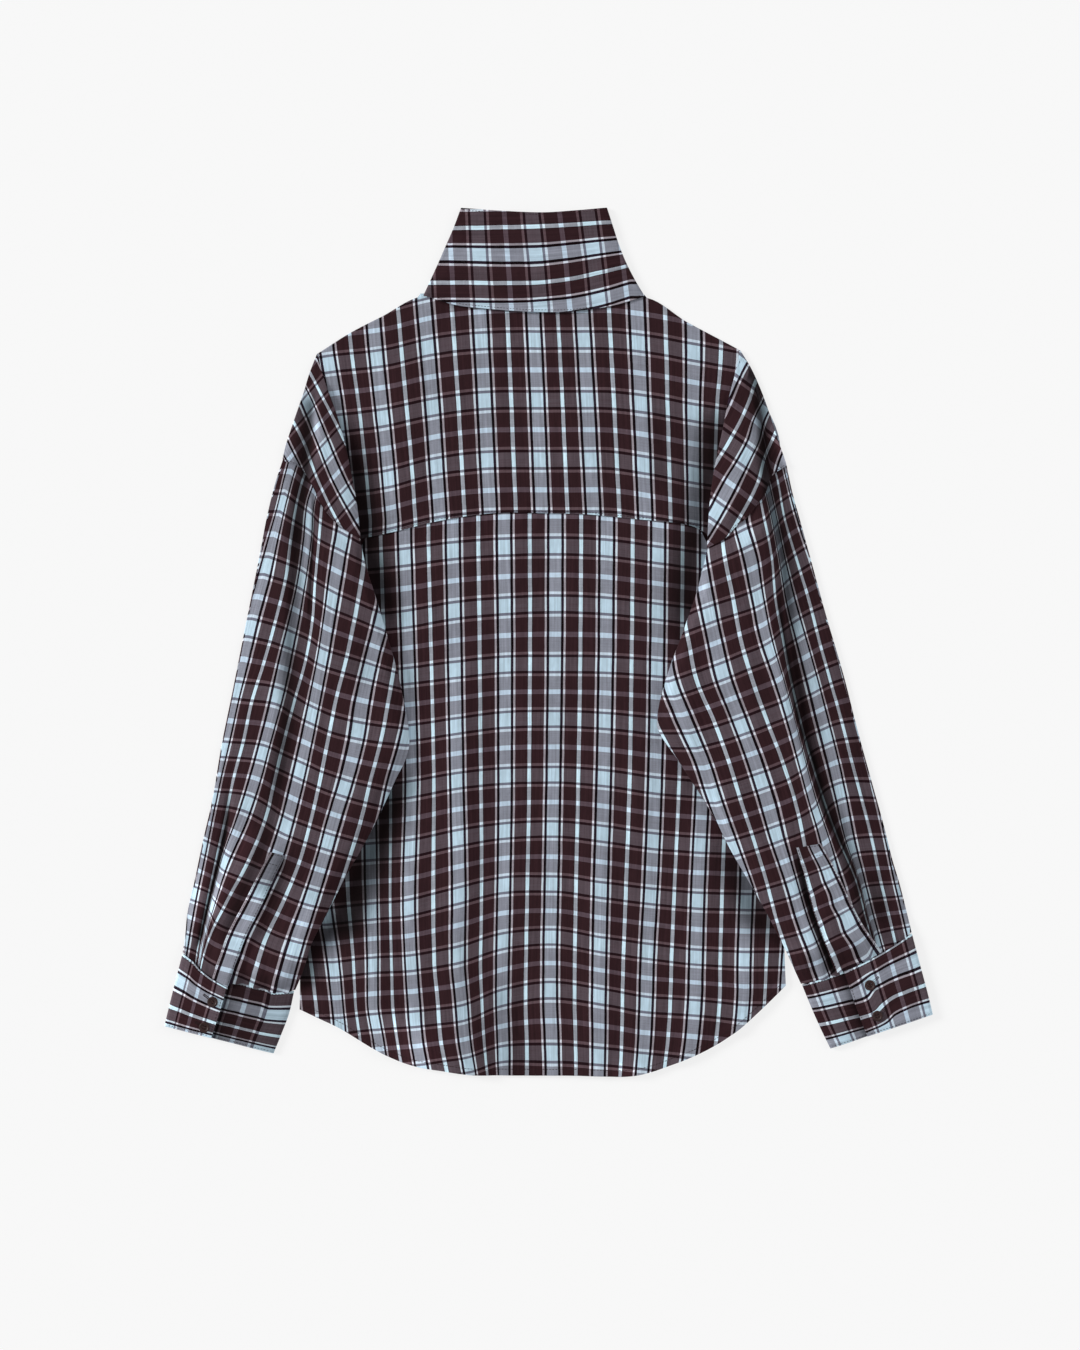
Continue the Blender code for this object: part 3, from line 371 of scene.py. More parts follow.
SLEEVE_RIGHT_WARP = (
    (190.5, 62.5, 86.5, 112.5, 136.5, 162.5, 187.5, 196.5, 205.0, 221.5),
    (153.0, 83.5, 106.0, 132.5, 156.0, 179.0, 196.5, 204.5, 216.0, 228.0),
    (115.0, 95.5, 116.5, 140.0, 162.0, 180.0, 203.5, 213.0, 223.0, 240.0),
    (77.5, 100.5, 120.5, 143.0, 166.0, 190.0, 210.5, 220.0, 234.0, 253.5),
    (39.5, 105.0, 125.0, 148.5, 173.5, 197.5, 213.5, 228.0, 245.5, 265.5),
    (2.0, 108.0, 131.5, 156.0, 180.5, 205.5, 220.5, 238.5, 255.0, 277.0),
    (-36.0, 113.5, 139.0, 165.0, 191.5, 218.0, 228.0, 249.0, 265.5, 287.5),
    (-73.5, 127.5, 155.0, 179.0, 205.0, 229.0, 237.0, 258.5, 276.0, 297.5),
    (-111.5, 144.0, 169.0, 193.0, 219.5, 238.5, 247.0, 268.0, 285.5, 307.0),
    (-149.0, 156.5, 180.5, 205.0, 231.5, 248.5, 259.0, 276.0, 295.5, 315.5),
    (-187.0, 170.5, 193.0, 215.5, 240.0, 260.5, 273.0, 283.5, 305.0, 323.0),
    (-224.5, 185.5, 204.5, 228.0, 245.0, 269.0, 289.5, 294.0, 313.0, 331.0),
    (-262.5, 199.5, 215.0, 239.5, 256.0, 281.5, 299.5, 303.5, 322.0, 340.0),
    (-300.0, 211.0, 227.5, 254.0, 271.5, 302.5, 311.0, 315.5, 331.0, 348.5),
    (-338.0, 222.0, 239.0, 268.5, 286.5, 316.5, 324.0, 328.0, 340.0, 357.0),
)
SLEEVE_RIGHT_WEFT = (
    (-2, 110.5, 132.0, 151.0, 170.0, 183.0),
    (-1, 58.5, 77.5, 97.0, 116.5, 134.0),
    (0, 7.5, 25.5, 41.5, 64.0, 85.0),
    (1, -44.5, -28.0, -8.5, 12.5, 28.5),
    (2, -93.0, -79.5, -61.5, -40.0, -24.5),
    (3, -144.5, -131.0, -112.0, -88.5, -81.0),
    (4, -194.5, -181.0, -162.5, -141.0, -139.5),
    (5, -244.5, -231.5, -213.5, -193.5, -190.5),
    (6, -292.5, -278.5, -257.5, -238.0, -234.0),
    (7, -338.0, -324.0, -300.0, -282.5, -274.5),
    (8, -385.0, -371.0, -347.5, -328.5, -319.0),
)
FLAP_LEFT_WARP = (  # y, then stripes 0 to 2 by halves
    (275.5, -291.5, -275.5, -253.5, -236.5, -216.0),
    (228.5, -270.5, -252.5, -228.5, -212.0, -192.0),
    (190.5, -252.5, -232.0, -213.5, -193.0, -174.5),
    (153.0, -232.0, -217.5, -198.0, -176.0, -157.5),
    (115.0, -214.0, -199.5, -177.0, -157.5, -138.5),
    (87.0, -199.0, -183.5, -161.0, -140.5, -121.5),
)
FLAP_RIGHT_WARP = (
    (275.5, 186.5, 212.0, 234.0, 258.0, 282.0),
    (245.0, 171.6, 195.0, 217.0, 239.0, 261.0),
    (228.5, 163.5, 189.5, 208.5, 229.0, 250.0),
    (209.0, 154.0, 181.0, 198.0, 219.5, 243.0),
    (190.5, 145.0, 171.0, 193.5, 211.0, 233.0),
    (172.0, 135.5, 160.0, 184.5, 203.0, 224.0),
    (153.0, 127.0, 148.5, 173.5, 198.0, 218.0),
    (115.0, 107.0, 129.5, 153.5, 178.7, 201.5),
    (87.0, 91.0, 112.5, 136.5, 162.0, 185.5),
)
# Weft on each flap: a stripe's centre x and y, its way across, and the repeat above and below it.
FLAP_LEFT_WEFT = (-208.5, 180.5, 0.74, -0.67, 43.6, 43.6)
FLAP_RIGHT_WEFT = (188.0, 172.0, -0.60, -0.80, 66.5, 57.3)
COLLAR_WARP_AT = (-116.5, -83.5, -46.0, -8.0, 20.0, 48.5, 77.0)  # x
COLLAR_WARP = (  # stripe, then y: the collar's warp runs round the neck
    (0.0, 416.5, 417.0, 417.0, 418.0, 419.0, 420.0, 421.0),
    (0.5, 390.0, 390.5, 391.0, 392.0, 393.5, 395.5, 397.0),
    (1.0, 366.5, 366.0, 365.0, 365.5, 368.5, 372.0, 375.5),
    (1.5, 339.0, 339.0, 338.5, 339.0, 342.5, 348.5, 355.5),
    (2.0, 314.5, 314.5, 314.0, 315.5, 318.0, 323.5, 332.0),
    (2.5, 289.0, 289.0, 289.0, 290.0, 293.5, 299.0, 307.5),
)
COLLAR_WEFT = (  # y, then x of stripes 0 to 4
    (412.5, -120.5, -68.0, -17.0, 36.0, 90.0),
    (365.5, -118.5, -65.5, -12.0, 42.5, 95.5),
    (313.5, -116.5, -62.0, -7.5, 48.0, 102.5),
)

# ------------------------------------------------------------------ creases
# A row for each crease: its line from the top down, its height (negative for a
# trough), its half width to the left and right, and how long it takes to fade
# in at its top and out at its bottom.
BACK_FOLDS = (
    (((-84, 10), (-86, -90), (-82, -190), (-86, -260), (-80, -360), (-68, -420)), 4.6, 16, 17, 90, 0),
    (((48, -60), (45, -200), (47, -300), (44, -420)), 2.4, 15, 14, 110, 0),
    (((92, -40), (88, -200), (84, -300), (80, -420)), 2.2, 13, 13, 90, 0),
    (((141, -150), (138, -250), (134, -330), (126, -420)), 2.4, 12, 15, 80, 0),
    (((-128, -150), (-131, -260), (-128, -330), (-116, -420)), 2.0, 10, 11, 90, 0),
    (((-162, -210), (-166, -300), (-158, -380), (-150, -420)), 2.2, 10, 12, 60, 0),
    (((188, -210), (186, -280), (178, -360)), 2.0, 9, 12, 60, 0),
    (((-20, 118), (-26, 70), (-30, 10)), 1.1, 12, 12, 25, 70),
    (((60, 118), (64, 60), (58, 0)), 1.0, 11, 13, 25, 70),
    (((-98, 105), (-108, 60), (-112, 0), (-106, -60)), 1.6, 12, 15, 25, 80),
    (((112, 105), (118, 40), (112, -30)), 1.3, 11, 12, 25, 70),
    (((12, -100), (6, -180), (10, -260)), 1.0, 12, 12, 60, 80),
    (((-60, -330), (-54, -380), (-52, -420)), -1.4, 8, 8, 40, 0),
)
LEFT_FOLDS = (
    (((-238.5, 176), (-234.5, 136), (-236.5, 96.5), (-239.5, 57.5), (-241.5, 19), (-244, -28.5), (-249, -80)), -4.2, 6, 8, 20, 60),
    (((-262, 110), (-268, 60), (-276, 0), (-288, -70), (-298, -120)), 1.6, 9, 9, 60, 60),
    (((-299, -120), (-306.5, -185), (-314, -220), (-320.5, -246.5), (-327, -274), (-333.5, -296)), -3.6, 5.0, 2.6, 40, 14),
    (((-292, -120), (-297.5, -180), (-305, -222), (-312, -250), (-319, -280)), 2.6, 4.0, 7.0, 50, 24),
    (((-232, -50), (-245, -111.5), (-263, -155), (-270.5, -191.5), (-280, -214.5), (-291.5, -239)), -2.6, 12, 9, 50, 40),
    (((-244, -175), (-251.5, -224.5), (-266, -262.5), (-280, -295.5), (-286, -318)), -3.4, 6, 9, 40, 0),
    (((-219.5, 146), (-221, 96.5), (-223.5, 49), (-226, -7.5)), -1.8, 2.4, 2.8, 16, 50),
    (((-208, 110), (-210, 50), (-216, -20), (-228, -90)), 1.6, 8, 14, 60, 80),
    (((-176, 60), (-172, 0), (-170, -70), (-184, -140)), -1.5, 12, 12, 60, 70),
    (((-158, -10), (-150, -70), (-166, -130), (-190, -190)), 1.5, 10, 10, 50, 60),
    (((-222, -215), (-236, -262), (-246, -320)), 1.6, 9, 9, 40, 0),
    (((-262, -268), (-264, -300), (-262, -322)), -1.6, 5, 6, 25, 0),
)
RIGHT_FOLDS = (
    (((200, 200), (203.5, 182), (208, 158.5), (214.5, 109.5), (221.5, 72.5), (228, 21.5), (234, -28.5), (242, -80), (256, -130)), -4.2, 6, 8, 10, 60),
    (((206, 60), (213, 1), (220, -37), (231, -87), (243, -120), (256, -160), (268, -190)), 2.8, 12, 5.0, 50, 50),
    (((220, 20), (228, -37), (239, -87), (250.5, -117.5), (257.5, -143), (264.5, -164.5), (278, -191.5), (292, -226)), -2.8, 3.0, 8, 40, 40),
    (((260, -97), (273, -139.5), (286.5, -187), (299, -229.5), (306, -255)), -2.6, 10, 8, 50, 30),
    (((234, -214), (243, -239), (250.5, -257.5), (258, -278.5), (269, -308)), -3.6, 6.0, 3.0, 20, 0),
    (((262, 40), (274, -20), (286, -80), (300, -140)), 1.5, 10, 10, 60, 70),
    (((182, 90), (182, 30), (186, -30), (200, -100)), 1.5, 12, 12, 60, 70),
    (((150, 30), (142, -30), (146, -90), (170, -150)), -1.5, 12, 12, 50, 70),
    (((190, -120), (208, -180), (226, -230), (240, -290)), -1.4, 10, 12, 60, 30),
    (((316, -226), (322, -262), (326, -290)), -2.0, 5, 6, 30, 0),
    (((283, -262), (288, -290), (292, -312)), 1.4, 7, 6, 25, 0),
    (((246, -288), (250, -308), (254, -326)), -1.6, 4, 5, 20, 0),
)
FLAP_LEFT_FOLDS = (
    (((-227, 246), (-226.5, 215), (-227.5, 185), (-229.5, 160)), -4.0, 8, 5, 26, 10),
    (((-217, 240), (-217, 190), (-214, 158)), 1.6, 4, 6, 24, 16),
    (((-246, 206), (-247, 186), (-248, 176)), 1.4, 6, 7, 14, 8),
    (((-214, 236), (-206, 196), (-198, 158), (-190, 120)), 1.2, 9, 8, 30, 20),
)
FLAP_RIGHT_FOLDS = (
    (((192, 258), (197.5, 223), (202.5, 182), (207, 150)), -3.8, 5, 8, 20, 10),
    (((186, 256), (190.5, 222), (193, 188), (196, 160)), 1.5, 6, 4, 24, 16),
    (((180, 236), (182, 196), (178, 150), (168, 110)), 1.4, 9, 9, 30, 20),
)
YOKE_FOLDS = (
    (((-132, 286), (-138, 220), (-140, 150), (-138, 104)), 1.2, 13, 16, 60, 40),
    (((-96, 306), (-84, 260), (-76, 200)), 1.0, 12, 14, 40, 60),
    (((24, 300), (22, 240), (20, 170), (24, 118)), 0.9, 16, 16, 40, 30),
    (((104, 300), (112, 240), (116, 170), (112, 108)), 1.1, 12, 14, 40, 30),
    (((-40, 300), (-34, 230), (-38, 150)), -0.7, 12, 12, 40, 60),
    (((66, 290), (68, 220), (64, 150)), -0.7, 11, 11, 40, 60),
)

# Painted shade where light hardly reaches, as above but with the share of colour lost in place of height;
# a negative share is a painted highlight on a ridge that catches light.
BODY_PAINTED_SHADE = (
    (((-192, 228), (-185.6, 181), (-176, 134), (-166.7, 87), (-155.4, 40), (-147.8, 2)), 0.56, 18, 15, 70, 45),
    (((-138, -110), (-146, -145), (-160, -190), (-172, -225), (-187, -266), (-200, -296)), 0.58, 24, 16, 40, 30),
    (((160, 233), (154.3, 200), (147.6, 153), (138.2, 106), (131.6, 68), (127.8, 21), (124, -17)), 0.46, 18, 14, 40, 60),
    (((163.7, -180), (178.8, -222), (194.8, -262), (210.9, -291)), 0.42, 16, 16, 40, 30),
    (((104, 236), (106, 172), (103, 128)), 0.14, 12, 12, 40, 30),
    (((-46, -290), (-38, -350), (-34, -408)), 0.15, 14, 16, 60, 0),
    (((-84, -260), (-84, -340), (-76, -404)), 0.10, 10, 10, 60, 0),
    (((-152, -338), (-147, -372), (-140, -402)), -0.24, 12, 14, 28, 0),
    (((-120, -352), (-114, -386), (-108, -408)), -0.17, 13, 12, 28, 0),
    (((-118, -44), (-117, -92), (-114, -136)), -0.17, 9, 9, 34, 44),
    (((66, -392), (72, -408)), -0.15, 14, 14, 10, 0),
    (((-129, -140), (-131, -154), (-134, -168)), -0.13, 9, 9, 14, 14),
    (((-192, -252), (-211, -276), (-225, -298), (-232, -330)), 0.45, 12, 9, 30, 12),
)
LEFT_PAINTED_SHADE = (
    (((-225, 240), (-225.5, 213), (-226.5, 191), (-228, 169), (-231, 147), (-234, 116), (-238, 70)), 0.50, 10, 5, 18, 40),
    (((-234, 130), (-237.5, 77), (-240.3, 21), (-244, -36), (-249.8, -92.5), (-258.3, -149), (-268, -186)), 0.40, 8, 9, 60, 60),
    (((-256, -140), (-268, -190), (-289, -238), (-307, -289)), 0.32, 8, 7, 50, 25),
    (((-299, -130), (-306.4, -188), (-313.5, -218), (-321, -247), (-327.5, -274), (-332, -292)), 0.80, 2.2, 1.5, 55, 18),
    (((-236, -180), (-247, -215), (-262, -250), (-276, -292)), 0.22, 6, 8, 30, 20),
    (((-222, 146), (-222.5, 96), (-224.5, 49), (-226, 0)), 0.40, 1.4, 1.6, 20, 45),
    (((-176, 20), (-173, -17), (-171, -58)), 0.14, 12, 12, 40, 40),
    (((-240, 222), (-248.8, 193.5), (-256, 168)), -0.26, 8, 6, 22, 14),
    (((-219, 236), (-218, 190), (-216, 162)), -0.14, 3.5, 3.5, 18, 14),
    (((-276, -160), (-291.3, -205.8), (-305.5, -234), (-316, -272)), -0.24, 9, 7, 32, 24),
    (((-322, -196), (-330, -235), (-334, -253), (-338, -280)), -0.22, 7, 6, 28, 24),
    (((-224, -235), (-234.7, -276.6), (-240, -308)), -0.22, 9, 9, 28, 16),
)
RIGHT_PAINTED_SHADE = (
    (((188, 264), (193, 251), (198, 222), (201, 186), (205, 149), (211, 125), (221, 77), (226, 40), (234.5, -26)), 0.50, 4.5, 10, 14, 60),
    (((226, 20), (234.5, -26), (245, -83), (258, -140), (277, -187), (290, -225), (300, -266), (304, -290)), 0.39, 8, 10, 50, 16),
    (((232, -190), (239.5, -219), (246.5, -248), (254.5, -272), (265, -300), (271, -314)), 0.70, 5.5, 2.4, 22, 5),
    (((214, 62), (219, 18), (227, -28), (237, -78), (249, -112), (261, -160), (276, -192), (290, -226)), 0.55, 1.6, 2.4, 40, 50),
    (((304, -200), (310, -240), (315, -270)), 0.25, 6, 7, 30, 15),
    (((204, 216), (210, 199), (219, 181), (228, 160)), -0.40, 4, 8, 14, 14),
)

# ------------------------------------------------------------------ helpers


def smooth(t):
    t = np.clip(t, 0.0, 1.0)
    return t * t * (3.0 - 2.0 * t)


def along(table, t):
    """Points of a table at the shares t, on a smooth curve through its rows."""
    table = np.asarray(table, float)
    knots, values = table[:, 0], table[:, 1:]
    t = np.clip(np.atleast_1d(np.asarray(t, float)), knots[0], knots[-1])
    slopes = np.gradient(values, knots, axis=0)
    steps = np.diff(values, axis=0) / np.diff(knots)[:, None]
    for k in range(1, len(knots) - 1):
        turning = steps[k - 1] * steps[k] <= 0
        slopes[k][turning] = 0.0
    i = np.clip(np.searchsorted(knots, t, side="right") - 1, 0, len(knots) - 2)
    h = (knots[i + 1] - knots[i])[:, None]
    s = ((t - knots[i]) / (knots[i + 1] - knots[i]))[:, None]
    return (
        (2 * s**3 - 3 * s**2 + 1) * values[i]
        + (s**3 - 2 * s**2 + s) * h * slopes[i]
        + (-2 * s**3 + 3 * s**2) * values[i + 1]
        + (s**3 - s**2) * h * slopes[i + 1]
    )


def patch(top, bottom, left, right, u, v):
    """Points inside four edges that meet at their ends."""
    u, v = u[None, :, None], v[:, None, None]
    return (
        (1 - v) * top[None] + v * bottom[None]
        + (1 - u) * left[:, None] + u * right[:, None]
        - (1 - u) * (1 - v) * top[0] - u * (1 - v) * top[-1]
        - (1 - u) * v * bottom[0] - u * v * bottom[-1]
    )


def pinned(curve, start, end):
    t = np.linspace(0, 1, len(curve))[:, None]
    return curve + (1 - t) * (np.array(start) - curve[0]) + t * (np.array(end) - curve[-1])


def outside(points, outline):
    """How far each point lies outside a closed outline, or 0 where it is inside."""
    a = np.asarray(outline, float)
    b = np.roll(a, -1, axis=0)
    shape = points.shape[:-1]
    flat = np.asarray(points, float).reshape(-1, 2)
    result = []
    for part in np.array_split(flat, max(1, len(flat) // 20000)):
        p = part[:, None, :]
        ab = b - a
        share = np.clip(((p - a) * ab).sum(-1) / np.maximum((ab**2).sum(-1), 1e-9), 0, 1)
        gap = np.sqrt((((a + share[..., None] * ab) - p) ** 2).sum(-1)).min(-1)
        crosses = (a[:, 1] > p[..., 1]) != (b[:, 1] > p[..., 1])
        rise = np.where(ab[:, 1] == 0, 1.0, ab[:, 1])
        where = a[:, 0] + (p[..., 1] - a[:, 1]) * ab[:, 0] / rise
        inside = (crosses & (p[..., 0] < where)).sum(-1) % 2 == 1
        result.append(np.where(inside, 0.0, gap))
    return np.concatenate(result).reshape(shape)


def near(points, line):
    """Distance from each point to an open line."""
    a, b = np.asarray(line[:-1], float), np.asarray(line[1:], float)
    shape = points.shape[:-1]
    p = np.asarray(points, float).reshape(-1, 1, 2)
    ab = b - a
    share = np.clip(((p - a) * ab).sum(-1) / np.maximum((ab**2).sum(-1), 1e-9), 0, 1)
    gap = np.sqrt((((a + share[..., None] * ab) - p) ** 2).sum(-1)).min(-1)
    return gap.reshape(shape)


def rows_at(table, t):
    table = np.asarray(table, float)
    return along(np.column_stack((np.arange(len(table)), table)), t)


def between(places, first, step, at):
    """The stripe number at each place, from the rising places of stripes first, first + step, ..."""
    count = places.shape[1]
    gaps = np.maximum(np.diff(places, axis=1), 0.4)
    rates = step / gaps
    slopes = np.empty_like(places)
    slopes[:, 0], slopes[:, -1] = rates[:, 0], rates[:, -1]
    slopes[:, 1:-1] = 2 * rates[:, :-1] * rates[:, 1:] / (rates[:, :-1] + rates[:, 1:])
    i = np.clip((at[:, None] >= places).sum(1) - 1, 0, count - 2)
    n = np.arange(len(at))
    h = gaps[n, i]
    s = (at - places[n, i]) / h
    low, high = s < 0, s > 1
    inner = np.clip(s, 0, 1)
    y0 = first + step * i
    value = (
        (2 * inner**3 - 3 * inner**2 + 1) * y0
        + (inner**3 - 2 * inner**2 + inner) * h * slopes[n, i]
        + (-2 * inner**3 + 3 * inner**2) * (y0 + step)
        + (inner**3 - inner**2) * h * slopes[n, i + 1]
    )
    value = value + np.where(low, s * h * slopes[n, 0], 0)
    return value + np.where(high, (s - 1) * h * slopes[n, -1], 0)


def by_height(table, first, step, x, y):
    """Warp stripe number at x, y from a table of heights."""
    shape = x.shape
    rows = np.array(table, float)[::-1]
    places = along(rows, y.ravel())
    return between(places, first, step, x.ravel()).reshape(shape)


def by_column(table, columns, step, at, y):
    """Stripe number at height y from a table with a row for each stripe, downwards."""
    shape = y.shape
    table = np.array(table, float)
    keyed = np.column_stack((np.array(columns, float), -table[:, 1:].T))
    places = along(keyed, at.ravel())
    return between(places, table[0, 0], step, -y.ravel()).reshape(shape)


def folds(x, y, rows):
    """Height that the creases give at x, y."""
    total = np.zeros(x.shape)
    for line, height, left, right, fade_in, fade_out in rows:
        pts = np.array(line, float)[::-1]
        keyed = np.column_stack((pts[:, 1], pts[:, 0]))
        middle = along(keyed, y.ravel())[:, 0].reshape(x.shape)
        lean = np.interp(y, (pts[:-1, 1] + pts[1:, 1]) / 2, np.diff(pts[:, 0]) / np.diff(pts[:, 1]))
        gap = (x - middle) / np.sqrt(1 + lean**2)
        form = np.exp(-((gap / np.where(gap < 0, left, right)) ** 2))
        top, bottom = pts[-1, 1], pts[0, 1]
        form = form * (smooth((top - y) / fade_in) if fade_in else (y <= top))
        form = form * (smooth((y - bottom) / fade_out) if fade_out else 1.0)
        total = total + height * form
    return total


def painted_shade_map(x, y, rows):
    """Painted shade: the share of colour kept in the folds and beside the edges that lie over a panel, where light
    hardly reaches; above 1 it is a painted highlight.
    """
    total = np.ones(x.shape)
    for row in rows:
        total = total * (1 - folds(x, y, (row,)))
    return total


def ripple(x, y, seed, length, amount):
    """Slow unevenness of limp cloth, the same each time."""
    rng = np.random.default_rng(seed)
    total = np.zeros(x.shape)
    for _ in range(9):
        angle = rng.uniform(-0.55, 0.55) + (math.pi / 2 if rng.random() < 0.25 else 0)
        wave = rng.uniform(0.7, 1.6) * length
        phase = rng.uniform(0, 2 * math.pi)
        way = x * math.cos(angle) + y * math.sin(angle) * 0.45
        total += np.sin(2 * math.pi * way / wave + phase + 0.8 * np.sin(y / (1.7 * length) + phase))
    return total * amount / 3.0


def body_outline():
    t = np.linspace(0, 1, 24)
    return np.vstack((
        along(YOKE_SEAM, t), along(SIDE_RIGHT, t), along(HEM, t)[::-1], along(SIDE_LEFT, t)[::-1],
    ))


BODY = body_outline()


def normals_of(grid, ring=False):
    if ring:
        across = np.roll(grid, -1, axis=1) - np.roll(grid, 1, axis=1)
    else:
        across = np.gradient(grid, axis=1)
    down = np.gradient(grid, axis=0)
    out = np.cross(down, across)
    size = np.linalg.norm(out, axis=2, keepdims=True)
    return out / np.maximum(size, 1e-9)


# ---------------------------------------------------------------- materials
def socket(node, *names):
    for name in names:
        if name in node.inputs:
            return node.inputs[name]
    raise KeyError(names)


# Yarn as it reads from a metre away, as displayed red, green and blue of 255,
# and where each band starts in half a repeat, from the middle of the broad band.
WARP_BANDS = (
    ((181, 198, 213), 0.0), ((13, 4, 9), 0.228), ((206, 206, 215), 0.333), ((51, 32, 35), 0.412),
    ((38, 24, 26), 0.896), ((204, 224, 236), 0.922),
)
WEFT_BANDS = (
    ((173, 210, 225), 0.0), ((11, 5, 10), 0.238), ((206, 212, 222), 0.332), ((45, 32, 36), 0.422),
    ((35, 24, 27), 0.895), ((179, 198, 220), 0.912),
)


def shirting(name, warp_share=0.695):
    made = bpy.data.materials.new(name)
    made.use_nodes = True
    nodes, links = made.node_tree.nodes, made.node_tree.links
    shader = nodes["Principled BSDF"]

    def math_node(kind, a, b=None, c=None):
        node = nodes.new("ShaderNodeMath")
        node.operation = kind
        for i, v in enumerate((a, b, c)):
            if v is None:
                continue
            if isinstance(v, (int, float)):
                node.inputs[i].default_value = v
            else:
                links.new(v, node.inputs[i])
        return node.outputs[0]

    uv = nodes.new("ShaderNodeUVMap")
    uv.uv_map = "cloth"
    split = nodes.new("ShaderNodeSeparateXYZ")
    links.new(uv.outputs[0], split.inputs[0])
    s, t = split.outputs[0], split.outputs[1]

    def noise(scale_s, scale_t, detail, rough=0.5, offset=0.0):
        join = nodes.new("ShaderNodeCombineXYZ")
        links.new(math_node("MULTIPLY_ADD", s, scale_s, offset), join.inputs[0])
        links.new(math_node("MULTIPLY_ADD", t, scale_t, offset * 0.7), join.inputs[1])
        tex = nodes.new("ShaderNodeTexNoise")
        tex.inputs["Scale"].default_value = 1.0
        tex.inputs["Detail"].default_value = detail
        tex.inputs["Roughness"].default_value = rough
        links.new(join.outputs[0], tex.inputs["Vector"])
        return tex.outputs[0]

    def bands(coordinate, repeat, rows, wander):
        moved = math_node("MULTIPLY_ADD", wander, 0.0007, coordinate)
        phase = math_node("DIVIDE", moved, repeat * 0.001)
        fold = math_node("PINGPONG", phase, 0.5)
        place = math_node("MULTIPLY", fold, 2.0)
        ramp = nodes.new("ShaderNodeValToRGB")
        ramp.color_ramp.interpolation = "CONSTANT"
        while len(ramp.color_ramp.elements) < len(rows):
            ramp.color_ramp.elements.new(0.5)
        for element, (yarn, position) in zip(ramp.color_ramp.elements, rows):
            element.position = position
            element.color = (*(math.sqrt(c / 255) for c in yarn), 1.0)
        links.new(place, ramp.inputs[0])
        return ramp.outputs[0]

    wander_s = math_node("SUBTRACT", noise(60, 45, 2, offset=3.1), 0.5)
    wander_t = math_node("SUBTRACT", noise(45, 60, 2, offset=7.7), 0.5)
    warp = bands(s, WARP_REPEAT, WARP_BANDS, wander_s)
    weft = bands(t, WEFT_REPEAT, WEFT_BANDS, wander_t)

    # Twill: the weft shows between the warp in fine diagonal ribs.
    diagonal = math_node("ADD", math_node("MULTIPLY", s, 2 * math.pi / 0.0011), math_node("MULTIPLY", t, 2 * math.pi / 0.0013))
    rib = math_node("SINE", diagonal)
    slub_s = noise(1500, 22, 2, offset=1.3)
    streak = noise(430, 14, 2, 0.6, offset=4.4)
    slub_t = noise(22, 1300, 2, offset=5.9)
    mottle = noise(130, 110, 3, offset=9.2)
    share = math_node("MULTIPLY_ADD", rib, 0.05, 1 - warp_share)
    share = math_node("ADD", share, math_node("MULTIPLY_ADD", slub_t, 0.16, -0.08))
    mix = nodes.new("ShaderNodeMix")
    mix.data_type = "RGBA"
    links.new(share, mix.inputs[0])
    links.new(warp, mix.inputs[6])
    links.new(weft, mix.inputs[7])

    tone = math_node("MULTIPLY_ADD", slub_s, 0.10, 0.95)
    tone = math_node("MULTIPLY", tone, math_node("MULTIPLY_ADD", streak, 0.20, 0.90))
    tone = math_node("MULTIPLY", tone, math_node("MULTIPLY_ADD", mottle, 0.07, 0.965))
    # Painted shade: the "depth" UV layer darkens the colour in creases, under folds and beside overlapping edges, and
    # lightens it on a few ridges and on the left cuff's lap.
    painted_shading = nodes.new("ShaderNodeUVMap")
    painted_shading.uv_map = "depth"
    depth = nodes.new("ShaderNodeSeparateXYZ")
    links.new(painted_shading.outputs[0], depth.inputs[0])
    tone = math_node("MULTIPLY", tone, depth.outputs[0])
    tinted = nodes.new("ShaderNodeVectorMath")
    tinted.operation = "SCALE"
    links.new(mix.outputs[2], tinted.inputs[0])
    links.new(tone, tinted.inputs["Scale"])
    gamma = nodes.new("ShaderNodeGamma")
    gamma.inputs[1].default_value = 4.4
    links.new(tinted.outputs[0], gamma.inputs[0])
    links.new(gamma.outputs[0], shader.inputs["Base Color"])

    crinkle = noise(210, 150, 4, 0.6, offset=2.2)
    height = math_node("MULTIPLY_ADD", rib, 0.10, math_node("MULTIPLY", crinkle, 2.4))
    height = math_node("ADD", height, math_node("MULTIPLY", slub_s, 0.35))
    bump = nodes.new("ShaderNodeBump")
    bump.inputs["Strength"].default_value = 0.55
    bump.inputs["Distance"].default_value = 0.0004
    links.new(height, bump.inputs["Height"])
    links.new(bump.outputs[0], shader.inputs["Normal"])

    shader.inputs["Roughness"].default_value = 0.9
    socket(shader, "Specular IOR Level", "Specular").default_value = 0.08
    socket(shader, "Sheen Weight", "Sheen").default_value = 0.015
    socket(shader, "Sheen Roughness").default_value = 0.5
    return made


def plain(name, colour, roughness, specular=0.5, noise_scale=900.0, spread=0.12, bump=0.00005):
    """A moulded or spun finish: mottled colour with a fine bump."""
    made = bpy.data.materials.new(name)
    made.use_nodes = True
    nodes, links = made.node_tree.nodes, made.node_tree.links
    shader = nodes["Principled BSDF"]
    place = nodes.new("ShaderNodeTexCoord")
    tex = nodes.new("ShaderNodeTexNoise")
    tex.inputs["Scale"].default_value = noise_scale
    tex.inputs["Detail"].default_value = 4.0
    links.new(place.outputs["Object"], tex.inputs["Vector"])
    ramp = nodes.new("ShaderNodeValToRGB")
    low, high = ramp.color_ramp.elements
    low.position, high.position = 0.3, 0.7
    low.color = (*(c * (1 - spread) for c in colour), 1.0)
    high.color = (*(c * (1 + spread) for c in colour), 1.0)
    links.new(tex.outputs[0], ramp.inputs[0])
    links.new(ramp.outputs[0], shader.inputs["Base Color"])
    bumped = nodes.new("ShaderNodeBump")
    bumped.inputs["Strength"].default_value = 0.5
    bumped.inputs["Distance"].default_value = bump
    links.new(tex.outputs[0], bumped.inputs["Height"])
    links.new(bumped.outputs[0], shader.inputs["Normal"])
    shader.inputs["Roughness"].default_value = roughness
    socket(shader, "Specular IOR Level", "Specular").default_value = specular
    return made


